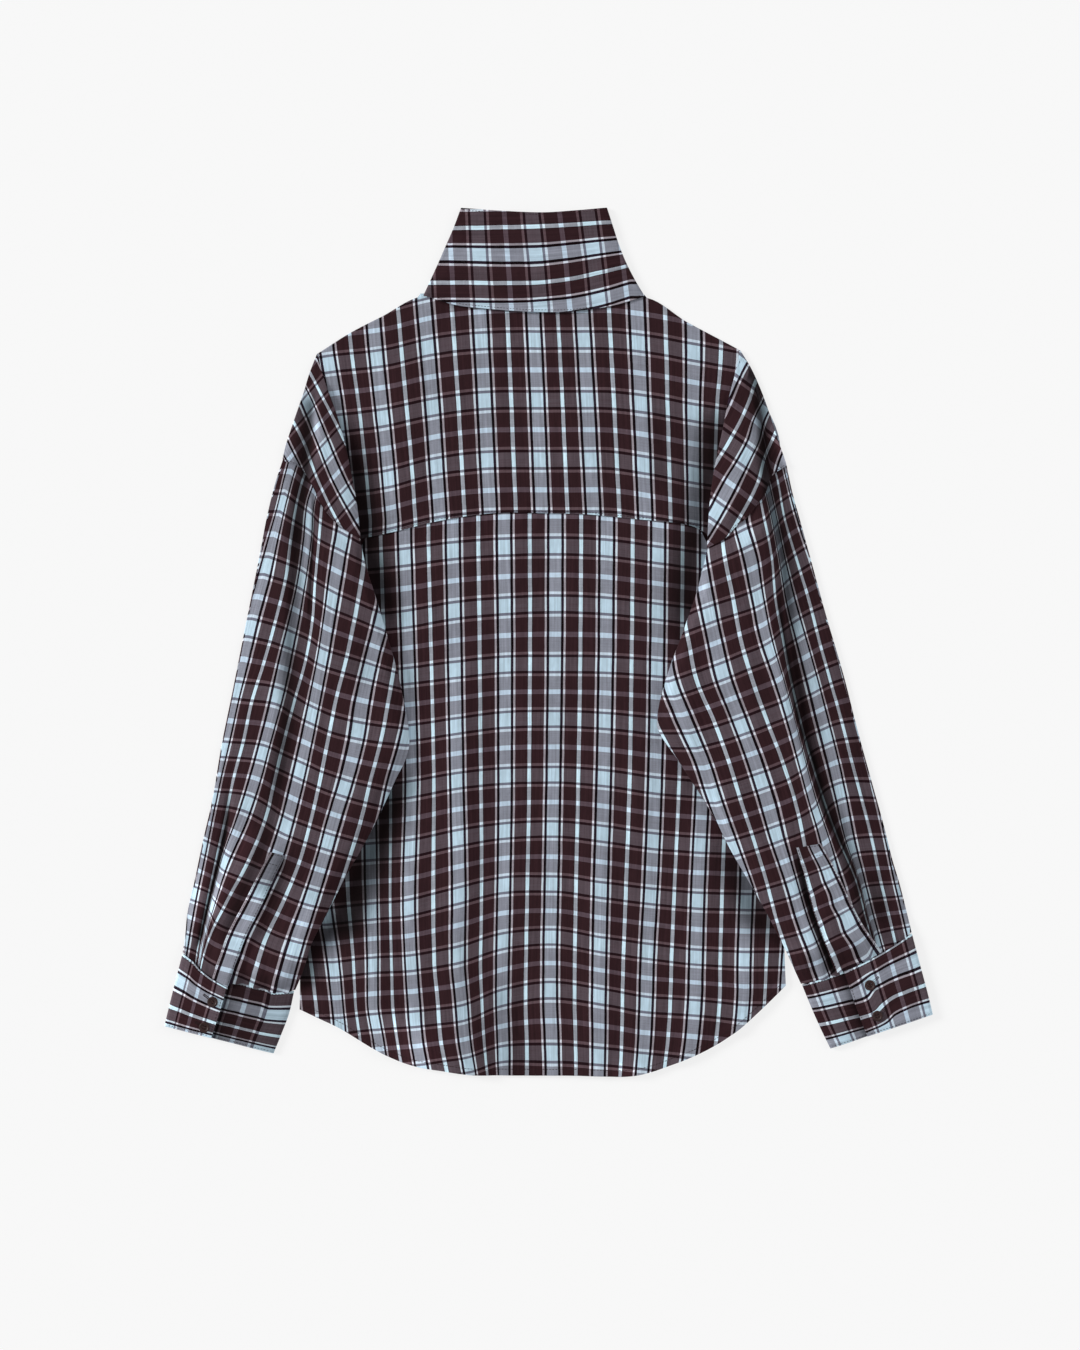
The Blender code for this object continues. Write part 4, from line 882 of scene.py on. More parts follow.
CHECK = shirting("woven_check")
THREAD = plain("brown_thread", (0.024, 0.013, 0.014), 0.85, 0.12, 2500.0, 0.25)
HORN = plain("brown_button", (0.032, 0.016, 0.015), 0.42, 0.22, 420.0, 0.30)


# ------------------------------------------------------------------ meshes
def shell(name, grid, cloth, wall=CLOTH, ring=False, flip=False, material=CHECK, painted_shading=None):
    """A closed thin wall about a grid of points, with its place in the weave.

    A ring's rows join end to end, and its cloth has one more column than its
    points. The wall may differ from point to point. The painted shading says how
    far each point's colour is kept as painted shade in creases and under folds,
    where 1 is in the open and above 1 is a painted highlight.
    """
    rows, columns = grid.shape[:2]
    if painted_shading is None:
        painted_shading = np.ones((rows, columns))
    painted_shading = np.sqrt(painted_shading)
    if ring:
        painted_shading = np.concatenate((painted_shading, painted_shading[:, :1]), axis=1)
    cloth = np.concatenate((cloth, painted_shading[..., None] * 1000.0), axis=2)
    out = normals_of(grid, ring) * (-1 if flip else 1)
    step = out * (np.asarray(wall, float) * np.ones((rows, columns)) / 2)[..., None]
    points = np.concatenate(((grid + step).reshape(-1, 3), (grid - step).reshape(-1, 3))) * 0.001
    points[:, 2] = np.maximum(points[:, 2], 0.00002)  # flat where it rests
    count = rows * columns
    r, c = np.meshgrid(np.arange(rows - 1), np.arange(columns if ring else columns - 1), indexing="ij")
    r, c = r.ravel(), c.ravel()
    n = (c + 1) % columns
    a, b, d, e = r * columns + c, (r + 1) * columns + c, (r + 1) * columns + n, r * columns + n
    uv = lambda i, j: cloth[i, j]
    place_a, place_b, place_d, place_e = uv(r, c), uv(r + 1, c), uv(r + 1, c + 1), uv(r, c + 1)
    upper = np.stack((a, b, d, e), 1)
    upper_uv = np.stack((place_a, place_b, place_d, place_e), 1)
    lower = np.stack((a, e, d, b), 1) + count
    lower_uv = np.stack((place_a, place_e, place_d, place_b), 1)
    faces, places = [upper, lower], [upper_uv, lower_uv]

    def rim(one, two, uv_one, uv_two):
        faces.append(np.stack((one, two, two + count, one + count), 1))
        places.append(np.stack((uv_one, uv_two, uv_two, uv_one), 1))

    c = np.arange(columns if ring else columns - 1)
    n = (c + 1) % columns
    rim(c, n, uv(0 * c, c), uv(0 * c, c + 1))
    last = (rows - 1) * columns
    rim(last + n, last + c, uv(rows - 1 + 0 * c, c + 1), uv(rows - 1 + 0 * c, c))
    if not ring:
        r = np.arange(rows - 1)
        rim((r + 1) * columns, r * columns, uv(r + 1, 0 * r), uv(r, 0 * r))
        edge = columns - 1
        rim(r * columns + edge, (r + 1) * columns + edge, uv(r, edge + 0 * r), uv(r + 1, edge + 0 * r))
    faces, places = np.concatenate(faces), np.concatenate(places)
    if flip:
        faces, places = faces[:, ::-1], places[:, ::-1]
    return mesh_object(name, points, faces, material, places.reshape(-1, 3) * 0.001)


def mesh_object(name, points, faces, material, places=None):
    mesh = bpy.data.meshes.new(name)
    mesh.from_pydata(points.tolist(), [], faces.tolist())
    mesh.update()
    if places is not None:
        layer = mesh.uv_layers.new(name="cloth")
        layer.data.foreach_set("uv", np.ascontiguousarray(places[:, :2], np.float32).ravel())
        # the "depth" layer holds the painted shading factor (painted shade in creases and under edges), not a depth
        layer = mesh.uv_layers.new(name="depth")
        layer.data.foreach_set("uv", np.ascontiguousarray(places[:, [2, 2]], np.float32).ravel())
        mesh.uv_layers["cloth"].active = True
    mesh.materials.append(material)
    mesh.shade_smooth()
    mesh.set_sharp_from_angle(angle=math.radians(55))
    made = bpy.data.objects.new(name, mesh)
    bpy.context.scene.collection.objects.link(made)
    return made


def thread_mesh(runs, radius):
    """Points and faces of one short bead of thread for each run (start, end, up)."""
    sides, rings = 6, 5
    starts, ends, ups = (np.array([r[i] for r in runs], float) for i in range(3))
    way = ends - starts
    length = np.linalg.norm(way, axis=1, keepdims=True)
    way = way / np.maximum(length, 1e-9)
    side = np.cross(way, ups)
    side /= np.maximum(np.linalg.norm(side, axis=1, keepdims=True), 1e-9)
    up = np.cross(side, way)
    points, faces = [], []
    profile = ((0.0, 0.25), (0.12, 0.8), (0.5, 1.0), (0.88, 0.8), (1.0, 0.25))
    for t, size in profile:
        sink = -0.6 * radius * (2 * abs(t - 0.5)) ** 2
        for k in range(sides):
            angle = 2 * math.pi * k / sides
            points.append(
                starts + way * length * t
                + side * (radius * size * math.cos(angle))
                + up * (radius * size * math.sin(angle) * 0.8 + sink)
            )
    points = np.stack(points, 1)  # runs x points x 3
    pattern = []
    for ring_index in range(rings - 1):
        for k in range(sides):
            n = (k + 1) % sides
            a = ring_index * sides
            pattern.append((a + k, a + n, a + sides + n, a + sides + k))
    caps = [tuple(range(sides))[::-1], tuple((rings - 1) * sides + k for k in range(sides))]
    count = points.shape[1]
    base = (np.arange(len(runs)) * count)[:, None, None]
    quads = (base + np.array(pattern)[None]).reshape(-1, 4)
    cap_faces = [tuple(int(b) + i for i in cap) for b in base.ravel() for cap in caps]
    return points.reshape(-1, 3), quads, cap_faces


def stitch_object(name, runs, radius=0.26, material=THREAD):
    runs = [run for run in runs if min(run[0][2], run[1][2]) > 0.8 * radius]  # none on the resting face
    points, quads, caps = thread_mesh(runs, radius)
    mesh = bpy.data.meshes.new(name)
    mesh.from_pydata((points * 0.001).tolist(), [], [tuple(q) for q in quads.tolist()] + caps)
    mesh.update()
    mesh.materials.append(material)
    mesh.shade_smooth()
    bm = bmesh.new()
    bm.from_mesh(mesh)
    bmesh.ops.recalc_face_normals(bm, faces=bm.faces)
    bm.to_mesh(mesh)
    bm.free()
    made = bpy.data.objects.new(name, mesh)
    bpy.context.scene.collection.objects.link(made)
    return made


def sample(grid, r, c):
    """Points of a grid at fractional rows and columns."""
    r = np.clip(np.asarray(r, float), 0, grid.shape[0] - 1.0001)
    c = np.clip(np.asarray(c, float), 0, grid.shape[1] - 1.0001)
    i, j = r.astype(int), c.astype(int)
    a, b = (r - i)[..., None], (c - j)[..., None]
    return (
        grid[i, j] * (1 - a) * (1 - b) + grid[i + 1, j] * a * (1 - b)
        + grid[i, j + 1] * (1 - a) * b + grid[i + 1, j + 1] * a * b
    )


def stitch_line(grid, r, c, wall, length=2.3, pitch=3.0, up=1.0, lift=0.10):
    """Runs of thread along a line of fractional rows and columns of a grid."""
    points = sample(grid, r, c)
    outward = sample(normals_of(grid), r, c) * up
    points = points + outward * (wall / 2 + lift)
    gone = np.concatenate(([0], np.cumsum(np.linalg.norm(np.diff(points, axis=0), axis=1))))
    count = int(gone[-1] / pitch)
    runs = []
    for k in range(count):
        a, b = k * pitch + 0.3, k * pitch + 0.3 + length
        ends = [np.array([np.interp(d, gone, points[:, i]) for i in range(3)]) for d in (a, b)]
        way = np.array([np.interp((a + b) / 2, gone, outward[:, i]) for i in range(3)])
        runs.append((ends[0], ends[1], way))
    return runs


def inset(grid, distance, edge):
    """Fractional index at a distance in from an edge: "top", "bottom", "left" or "right"."""
    work = {"top": grid, "bottom": grid[::-1], "left": grid.transpose(1, 0, 2), "right": grid[:, ::-1].transpose(1, 0, 2)}[edge]
    steps = np.linalg.norm(np.diff(work, axis=0), axis=2)
    gone = np.vstack((np.zeros(work.shape[1]), np.cumsum(steps, axis=0)))
    at = np.array([np.interp(distance, gone[:, k], np.arange(len(gone))) for k in range(work.shape[1])])
    if edge in ("bottom", "right"):
        at = work.shape[0] - 1 - at
    return at


def place(piece, *nodes, slot="shirting"):
    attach(piece, "root")
    if nodes:
        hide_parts(*nodes)
    return piece


def cloth_at(warp, weft):
    return np.dstack((warp * WARP_REPEAT, weft * WEFT_REPEAT))


# --------------------------------------------------------------------- back
def back_warp_weft(x, y):
    warp = by_height(BACK_WARP, -3, 1, x, y)
    weft = by_column(BACK_WEFT, BACK_WEFT_AT, 1, warp, y)
    return warp, weft


def back_level(x, y, u, v):
    low = BACK_TOP - (BACK_TOP - EDGE_TOP) * smooth(1 - np.minimum(u, 1 - u) / 0.05)[None, :] * smooth(v / 0.08)[:, None]
    points = np.dstack((x, y))
    inner_left = near(points, rows_at(SLEEVE_LEFT, np.linspace(0, 12, 49))[:, 2:4])
    inner_right = near(points, rows_at(SLEEVE_RIGHT, np.linspace(0, 12, 49))[:, 2:4])
    covered = sleeve_cover(points)
    free = smooth(np.minimum(inner_left, inner_right) / 42.0) * (covered <= 0)
    seam = smooth((near(points, along(YOKE_SEAM, np.linspace(0, 1, 41))) - 3.0) / 30.0)
    relief = folds(x, y, BACK_FOLDS) + ripple(x, y, 11, 62.0, 0.45) + 0.6
    pucker = 0.35 * np.sin(x / 2.3 + 0.9 * np.sin(x / 9.0)) * (1 - smooth((near(points, along(YOKE_SEAM, np.linspace(0, 1, 41))) - 1.0) / 16.0))
    hem = near(points, along(HEM, np.linspace(0, 1, 61)))
    waver = 0.30 * np.sin(x / 3.1 + 1.1 * np.sin(x / 13.0)) * (1 - smooth((hem - 2.0) / 14.0))
    drop = -1.0 * (1 - smooth(hem / 24.0))
    side = smooth(np.minimum(u, 1 - u) / 0.07)[None, :]
    return low + np.maximum(relief * free * (0.25 + 0.75 * seam), -0.25) * side + (pucker + waver + drop) * side * (covered <= 0)


def sleeve_cover(points):
    """1 where a sleeve lies over the point."""
    total = np.zeros(points.shape[:2])
    for table in (SLEEVE_LEFT, SLEEVE_RIGHT):
        rows = rows_at(table, np.linspace(0, 12, 37))
        ring = np.vstack((rows[:, 0:2], rows[::-1, 2:4]))
        total = np.maximum(total, (outside(points, ring) <= 0).astype(float))
    return total


def make_back():
    columns, rows = 150, 172
    u = np.linspace(0, 1, columns + 1)
    v = np.linspace(0, 1, rows + 1)
    top = along(YOKE_SEAM, 0.008 + 0.974 * u) - (0, 1.3 * SEAM)
    bottom = along(HEM, u)
    scallop = 1.1 * np.sin(bottom[:, 0] / 17.0 + 0.6) * np.exp(-(((abs(bottom[:, 0]) - 130) / 80.0) ** 2))
    bottom[:, 1] += scallop * smooth(np.minimum(u, 1 - u) / 0.08)
    left = pinned(along(SIDE_LEFT, v), top[0], bottom[0])
    right = pinned(along(SIDE_RIGHT, v), top[-1], bottom[-1])
    flat = patch(top, bottom, left, right, u, v)
    x, y = flat[..., 0], flat[..., 1]
    level = back_level(x, y, u, v) - CLOTH / 2
    grid = np.dstack((flat, level))
    tuck = np.repeat(grid[:1], 2, axis=0)  # runs on under the yoke's edge
    tuck[0, :, 1] += 4.5
    tuck[1, :, 1] += 1.2
    tuck[0, :, 2] = 2.55
    tuck[1, :, 2] = 2.75
    grid[0, :, 2] = np.minimum(grid[0, :, 2], 3.0)
    grid = np.concatenate((tuck, grid), axis=0)
    warp, weft = back_warp_weft(grid[..., 0], grid[..., 1])
    hem = near(grid[..., :2], along(HEM, np.linspace(0, 1, 61)))
    wall = CLOTH + (HEM_CLOTH - CLOTH) * smooth((7.2 - hem) / 0.8)
    grid[..., 2] += (wall - CLOTH) / 2 * 0.9
    # painted shade on the back beside and below the sleeves and in its folds, with a few painted highlights
    made = shell("back_panel", grid, cloth_at(warp, weft), wall, painted_shading=painted_shade_map(grid[..., 0], grid[..., 1], BODY_PAINTED_SHADE))
    place(made, "back")
    runs = []
    c = np.linspace(1.2, columns - 1.2, 500)
    at = np.interp(c, np.arange(columns + 1), inset(grid, 6.0, "bottom"))
    runs += stitch_line(grid, at, c, HEM_CLOTH)
    place(stitch_object("hem_stitches", runs))
    return made, grid


# --------------------------------------------------------------------- yoke
def seam_top(c):
    base = 2.6 + UNDER_SLEEVE * smooth(c / 0.8) + 2.4 * smooth((c - 0.5) / 0.5)
    return base + 3.0 * np.clip(4 * c * (1 - c), 0, 1) ** 0.7


def flap_warp_weft(side, x, y):
    table = FLAP_LEFT_WARP if side == "left" else FLAP_RIGHT_WARP
    x0, y0, across, down, above, below = FLAP_LEFT_WEFT if side == "left" else FLAP_RIGHT_WEFT
    warp = by_height(table, 0, 0.5, x, y)
    weft = (x - x0) * across + (y - y0) * down
    weft = np.where(weft < 0, weft / above, weft / below)
    if side == "right":  # the valley takes up some of the cloth's length
        valley = np.interp(y, (150.0, 182.0, 223.0, 258.0), (207.0, 202.5, 197.5, 192.0))
        weft = weft - 0.36 * smooth((x - valley) / 5.0)
    return warp, weft


def make_yoke():
    rows, flap_columns, body_columns = 96, 58, 112
    v = np.linspace(0, 1, rows + 1)
    c = np.linspace(0, 1, flap_columns + 1)
    b = np.linspace(0, 1, body_columns + 1)
    short = v[:, None]
    ends = lambda a, z: (1 - short) * np.array(a[:2]) + short * np.array(z[:2])
    left_crease, right_crease = along(CREASE_LEFT, v), along(CREASE_RIGHT, v)

    def flap(side):
        drop = DROP_LEFT if side == "left" else DROP_RIGHT
        armhole = ARMHOLE_LEFT if side == "left" else ARMHOLE_RIGHT
        crease = left_crease if side == "left" else right_crease
        way = 1.0 if side == "left" else -1.0
        top, bottom = along(drop, c), along(armhole, c) + (way * 0.2, -0.6)
        flat = patch(top, bottom, ends(top[0], bottom[0]), pinned(crease, top[-1], bottom[-1]), c, v)
        x, y = flat[..., 0], flat[..., 1]
        seam = seam_top(c)[None, :] + 0.9
        edge = 2.9 + 6.2 * smooth((v[:, None] - 0.02) / 0.30) * smooth((c[None, :] - 0.2) / 0.7)
        rise = edge + (seam - edge) * smooth(v[:, None] / 0.6)
        puff = 2.2 * np.sin(math.pi * np.clip(c[None, :], 0, 1)) * smooth((v[:, None] - 0.04) / 0.3) * (1 - smooth((v[:, None] - 0.86) / 0.14))
        relief = folds(x, y, FLAP_LEFT_FOLDS if side == "left" else FLAP_RIGHT_FOLDS)
        level = rise + puff + relief * (1 - 0.6 * smooth((v[:, None] - 0.9) / 0.1)) + ripple(x, y, 21, 40.0, 0.25) * smooth(v[:, None] / 0.2)
        level = np.maximum(level, 2.6 + 3.3 * smooth((v[:, None] - 0.02) / 0.12) * smooth((c[None, :] - 0.45) / 0.3))
        warp, weft = flap_warp_weft(side, x, y)
        return np.dstack((flat, level - CLOTH / 2)), warp, weft

    def tucked(side, upper, warp, weft, body):
        """The fold between a flap and the yoke: over the crease, back under it, and out again."""
        way = 1.0 if side == "left" else -1.0
        crease = upper[:, -1]
        grids, warps, wefts = [], [], []
        depth = 11.0 * smooth(v / 0.12)
        low = body[:, 0]
        mid_z = np.minimum((low[:, 2] + crease[:, 2]) / 2, low[:, 2] + 1.25)
        radius = np.maximum((crease[:, 2] - mid_z) / 2, 0.25)
        for angle in (30, 65, 100, 140, 180):
            a = math.radians(angle)
            p = crease.copy()
            p[:, 0] += way * np.minimum(radius, 0.9) * math.sin(a)
            p[:, 2] = crease[:, 2] - radius + radius * math.cos(a)
            grids.append(p)
        for back_by, z in ((0.5, 0.0), (1.0, -0.1)):
            p = crease.copy()
            p[:, 0] -= way * depth * back_by
            p[:, 2] = mid_z + z
            grids.append(p)
        inner = np.maximum((mid_z - low[:, 2]) / 2, 0.2)
        for angle in (45, 90, 135, 180):
            a = math.radians(angle)
            p = crease.copy()
            p[:, 0] -= way * (depth + inner * math.sin(a))
            p[:, 2] = mid_z - 0.1 - inner + inner * math.cos(a)
            grids.append(p)
        return grids

    # body of the yoke, from crease to crease
    top, bottom = along(YOKE_TOP, b), along(YOKE_SEAM, b) + (0.0, -0.7)
    near_line = pinned(left_crease + (3.5, 0), top[0], bottom[0])
    far_line = pinned(right_crease - (3.5, 0), top[-1], bottom[-1])
    flat = patch(top, bottom, near_line, far_line, b, v)
    x, y = flat[..., 0], flat[..., 1]
    shoulder = smooth((0.31 - b) / 0.06) + smooth((b - 0.75) / 0.06)
    level = BACK_TOP - (BACK_TOP - EDGE_TOP) * shoulder[None, :] * (1 - smooth(v[:, None] / 0.12))
    points = np.dstack((x, y))
    to_crease = np.minimum(near(points, left_crease), near(points, right_crease))
    seam_gap = near(points, along(YOKE_SEAM, np.linspace(0, 1, 41)))
    neck_gap = near(points, along(NECK, np.linspace(0, 1, 41)))
    relief = folds(x, y, YOKE_FOLDS) + ripple(x, y, 31, 55.0, 0.4) + 0.7
    free = smooth(to_crease / 38.0) * smooth(v[:, None] / 0.10) * smooth((neck_gap - 1.0) / 22.0)
    level = level + np.maximum(relief * free, -0.2) * (0.35 + 0.65 * smooth(seam_gap / 24.0))
    level = level + 0.95 * (1 - smooth(seam_gap / 9.0)) * (v[:, None] > 0.5)
    pucker = 0.32 * np.sin(x / 2.1 + 0.8 * np.sin(x / 8.0)) * (1 - smooth((seam_gap - 1.0) / 12.0)) * (v[:, None] > 0.5)
    level = level + pucker
    neck_u = (b > 0.285) & (b < 0.775)
    level = level - 0.7 * neck_u[None, :] * (1 - smooth(v[:, None] / 0.03))
    body = np.dstack((flat, level - CLOTH / 2))
    body_warp = by_height(YOKE_WARP, -3, 1, x, y)
    body_weft = by_column(YOKE_WEFT, YOKE_WEFT_AT, 1, x, y)

    left, left_warp, left_weft = flap("left")
    right, right_warp, right_weft = flap("right")
    left_tuck = tucked("left", left, left_warp, left_weft, body)
    right_tuck = tucked("right", right, right_warp, right_weft, body[:, ::-1])

    def strip(grids):
        return np.stack(grids, axis=1)

    left_fold = strip(left_tuck)
    right_fold = strip(right_tuck)[:, ::-1]
    # the yoke runs on under each flap until the fold turns it back
    under = lambda edge, fold_end: np.stack([edge * (1 - k) + fold_end * k for k in (0.33, 0.66)], axis=1)
    left_under = under(left_tuck[-1], body[:, 0])
    right_under = under(body[:, -1], right_tuck[-1])

    def roll(edge, inner, side):
        """The folded silhouette: the edge turns down and a little way in."""
        way = inner - edge
        way[:, 2] = 0
        way /= np.maximum(np.linalg.norm(way, axis=1, keepdims=True), 1e-6)
        r = 0.8
        out = []
        for a in (180, 135, 90, 45):
            angle = math.radians(a)
            p = edge + way * (r - r * math.sin(angle))
            p[:, 2] = edge[:, 2] - r + r * math.cos(angle)
            out.append(p)
        moved = edge + way * r
        moved[:, 2] = edge[:, 2]
        return np.stack(out, axis=1), moved

    left_roll, left[:, 0] = roll(left[:, 0], left[:, 2], "left")
    right_roll, right[:, 0] = roll(right[:, 0], right[:, 2], "right")
    grid = np.concatenate((left_roll, left, left_fold, left_under, body, right_under, right_fold, right[:, ::-1], right_roll[:, ::-1]), axis=1)
    lw, lt = flap_warp_weft("left", left_fold[..., 0], left_fold[..., 1])
    rw, rt = flap_warp_weft("right", right_fold[..., 0], right_fold[..., 1])
    luw = by_height(YOKE_WARP, -3, 1, left_under[..., 0], left_under[..., 1])
    lut = by_column(YOKE_WEFT, YOKE_WEFT_AT, 1, left_under[..., 0], left_under[..., 1])
    ruw = by_height(YOKE_WARP, -3, 1, right_under[..., 0], right_under[..., 1])
    rut = by_column(YOKE_WEFT, YOKE_WEFT_AT, 1, right_under[..., 0], right_under[..., 1])
    same = lambda a, n: np.repeat(a[:, :1], n, axis=1)
    warp = np.concatenate((same(left_warp, 4), left_warp, lw, luw, body_warp, ruw, rw, right_warp[:, ::-1], same(right_warp, 4)), axis=1)
    weft = np.concatenate((same(left_weft, 4), left_weft, lt, lut, body_weft, rut, rt, right_weft[:, ::-1], same(right_weft, 4)), axis=1)

    # shoulder and neck edge: a few rows that turn down, or run on under the collar
    first = grid[:1].copy()
    way = grid[1:2] - first
    way[..., 2] = 0
    way /= np.maximum(np.linalg.norm(way, axis=2, keepdims=True), 1e-6)
    extra, r = [], 0.8
    start = left_roll.shape[1] + left.shape[1] + left_fold.shape[1] + left_under.shape[1]
    neck = np.zeros(grid.shape[1], bool)
    neck[start:start + body_columns + 1] = neck_u
    for a in (180, 135, 90, 45):
        angle = math.radians(a)
        p = first + way * (r - r * math.sin(angle))
        p[..., 2] = first[..., 2] - r + r * math.cos(angle)
        reach = {180: 3.4, 135: 2.6, 90: 1.7, 45: 0.8}[a]
        q = first - way * reach
        q[..., 2] = first[..., 2] - 0.25 * reach / 3.4
        p[0, neck] = q[0, neck]
        extra.append(p)
    moved = first + way * r
    moved[..., 2] = first[..., 2]
    moved[0, neck] = first[0, neck]
    grid[0] = moved[0]
    grid = np.concatenate((*extra, grid), axis=0)
    warp = np.concatenate((np.repeat(warp[:1], 4, axis=0), warp), axis=0)
    weft = np.concatenate((np.repeat(weft[:1], 4, axis=0), weft), axis=0)
    grid[..., 2] = np.maximum(grid[..., 2], 0.45)
    # painted shade on the yoke beside the flaps and in the flaps' creases, with painted highlights on a few ridges
    painted_shading = painted_shade_map(grid[..., 0], grid[..., 1], BODY_PAINTED_SHADE)
    inside = np.zeros(grid.shape[1], bool)
    inside[start - 8:start + body_columns + 9] = True
    left_painted_shading, right_painted_shading = (painted_shade_map(grid[..., 0], grid[..., 1], rows) for rows in (LEFT_PAINTED_SHADE, RIGHT_PAINTED_SHADE))
    painted_shading = np.where(inside[None, :], painted_shading, np.where(np.arange(grid.shape[1]) < start, left_painted_shading, right_painted_shading))
    made = shell("yoke_panel", grid, cloth_at(warp, weft), painted_shading=painted_shading)
    place(made, "yoke")
    runs = []
    first_column, last_column = start, start + body_columns
    span = np.linspace(first_column + 1, last_column - 1, 400)
    for distance in (1.8,):
        at = np.interp(span, np.arange(grid.shape[1]), inset(grid, distance, "bottom"))
        runs += stitch_line(grid, at, span, CLOTH)
    for low, high in ((4, 4 + flap_columns), (grid.shape[1] - 5 - flap_columns, grid.shape[1] - 5)):
        span = np.linspace(low + 0.5, high - 0.5, 200)
        at = np.interp(span, np.arange(grid.shape[1]), inset(grid, 1.8, "bottom"))
        runs += stitch_line(grid, at, span, CLOTH)
    place(stitch_object("yoke_stitches", runs))
    return made, grid


# ------------------------------------------------------------------- fronts
def neck_y(x):
    t = np.linspace(0, 1, 41)
    line = along(NECK, t)
    share = np.interp(x, line[:, 0], t)
    return np.interp(x, line[:, 0], line[:, 1]) - NECK_DIP * np.sin(math.pi * share)


def make_front(side):
    left = side == "left"
    sign = -1.0 if left else 1.0
    outer = FRONT_EDGE_LEFT if left else FRONT_EDGE_RIGHT
    wrap = WRAP_EDGE_OF_LEFT if left else WRAP_EDGE_OF_RIGHT
    corner = -118.5 if left else 91.0
    u = np.linspace(0, 1, 71)
    v = np.linspace(0, 1, 121)
    start, end = along(outer, 0)[0], along(wrap, 0)[0]
    x = np.interp(u, (0, 0.3, 1), (start[0], corner + 3 * sign, end[0]))
    shoulder = start[1] + (x - start[0]) / (corner - start[0]) * (322.0 - start[1])
    beyond = (x - corner) * -sign > 0
    y = np.where(beyond, np.minimum(neck_y(x), 322.0) - SEAM, shoulder)
    top = np.column_stack((x, y))
    foot, tip = along(outer, 1)[0], along(wrap, 1)[0]
    hem_x = foot[0] + (tip[0] - foot[0]) * u
    hem = along(HEM, np.linspace(0, 1, 61))
    bottom = np.column_stack((hem_x, np.interp(hem_x, hem[:, 0], hem[:, 1]) + FRONT_HEM_RISE))
    near_line = pinned(along(outer, v), top[0], bottom[0])
    far_line = pinned(along(wrap, v), top[-1], bottom[-1])
    flat = patch(top, bottom, near_line, far_line, u, v)
    level = np.full(flat.shape[:2], 0.5)
    if left:
        edge = along(WRAP_EDGE_OF_RIGHT, np.linspace(0, 1, 21))[::-1]
        free = np.interp(flat[..., 1], edge[:, 1], edge[:, 0])
        level = level + 1.35 * smooth((flat[..., 0] - (free - 46.0)) / 28.0)
    grid = np.dstack((flat, level))
    if not left:
        grid = grid[:, ::-1]
    warp, weft = back_warp_weft(grid[..., 0] * 0.98 + (9.0 if left else -13.0), grid[..., 1])
    made = shell("front_panel_" + side, grid, cloth_at(warp, weft), 0.8)
    place(made, "front_" + side)
    runs = []
    rows, columns = grid.shape[:2]
    edge = "right" if left else "left"
    r = np.linspace(1, rows - 2, 400)
    for distance in (1.6, 24.0):
        at = np.interp(r, np.arange(rows), inset(grid, distance, edge))
        runs += stitch_line(grid, r, at, 0.8, up=-1.0, lift=-0.02)
    c = np.linspace(1, columns - 2, 300)
    at = np.interp(c, np.arange(columns), inset(grid, 6.0, "bottom"))
    runs += stitch_line(grid, at, c, 0.8, up=-1.0, lift=-0.02)
    place(stitch_object("front_stitches_" + side, runs, 0.12))
    return made


# ------------------------------------------------------------------ sleeves
def seam_drop(side, across, part="both"):
    """How far the cuff's seam lies below its plain line, at a share across."""
    if side == "right":
        return 0.0 * across
    if part == "lap":
        across = np.minimum(across, 0.437)
    if part == "under":
        across = np.maximum(across, 0.455)
    return np.interp(across, *zip(*SEAM_DROP))


def sleeve_flat(side, t, c):
    """Place on the ground of the section t (rows) and share c of a sleeve, as arrays of one shape."""
    table = SLEEVE_LEFT if side == "left" else SLEEVE_RIGHT
    armhole = ARMHOLE_LEFT if side == "left" else ARMHOLE_RIGHT
    shape = t.shape
    values = rows_at(table, t.ravel()).reshape(*shape, 6)
    outer, inner = values[..., 0:2], values[..., 2:4]
    way = inner - outer
    width = np.linalg.norm(way, axis=-1)
    down = np.stack((way[..., 1], -way[..., 0]), -1) / width[..., None]
    down = down * np.where(down[..., 1:2] > 0, -1.0, 1.0)
    flat = outer + way * c[..., None] + down * (values[..., 4] * 4 * c * (1 - c))[..., None]
    first = np.array(table[0], float)
    seam = along(armhole, c.ravel()).reshape(*shape, 2)
    straight = first[0:2] + (first[2:4] - first[0:2]) * c[..., None]
    flat = flat + (1 - smooth(t / 1.6))[..., None] * (seam - straight)
    flat = flat + down * (seam_drop(side, c) * smooth((t - 10.3) / 1.7))[..., None]
    return flat, width, values[..., 5], down


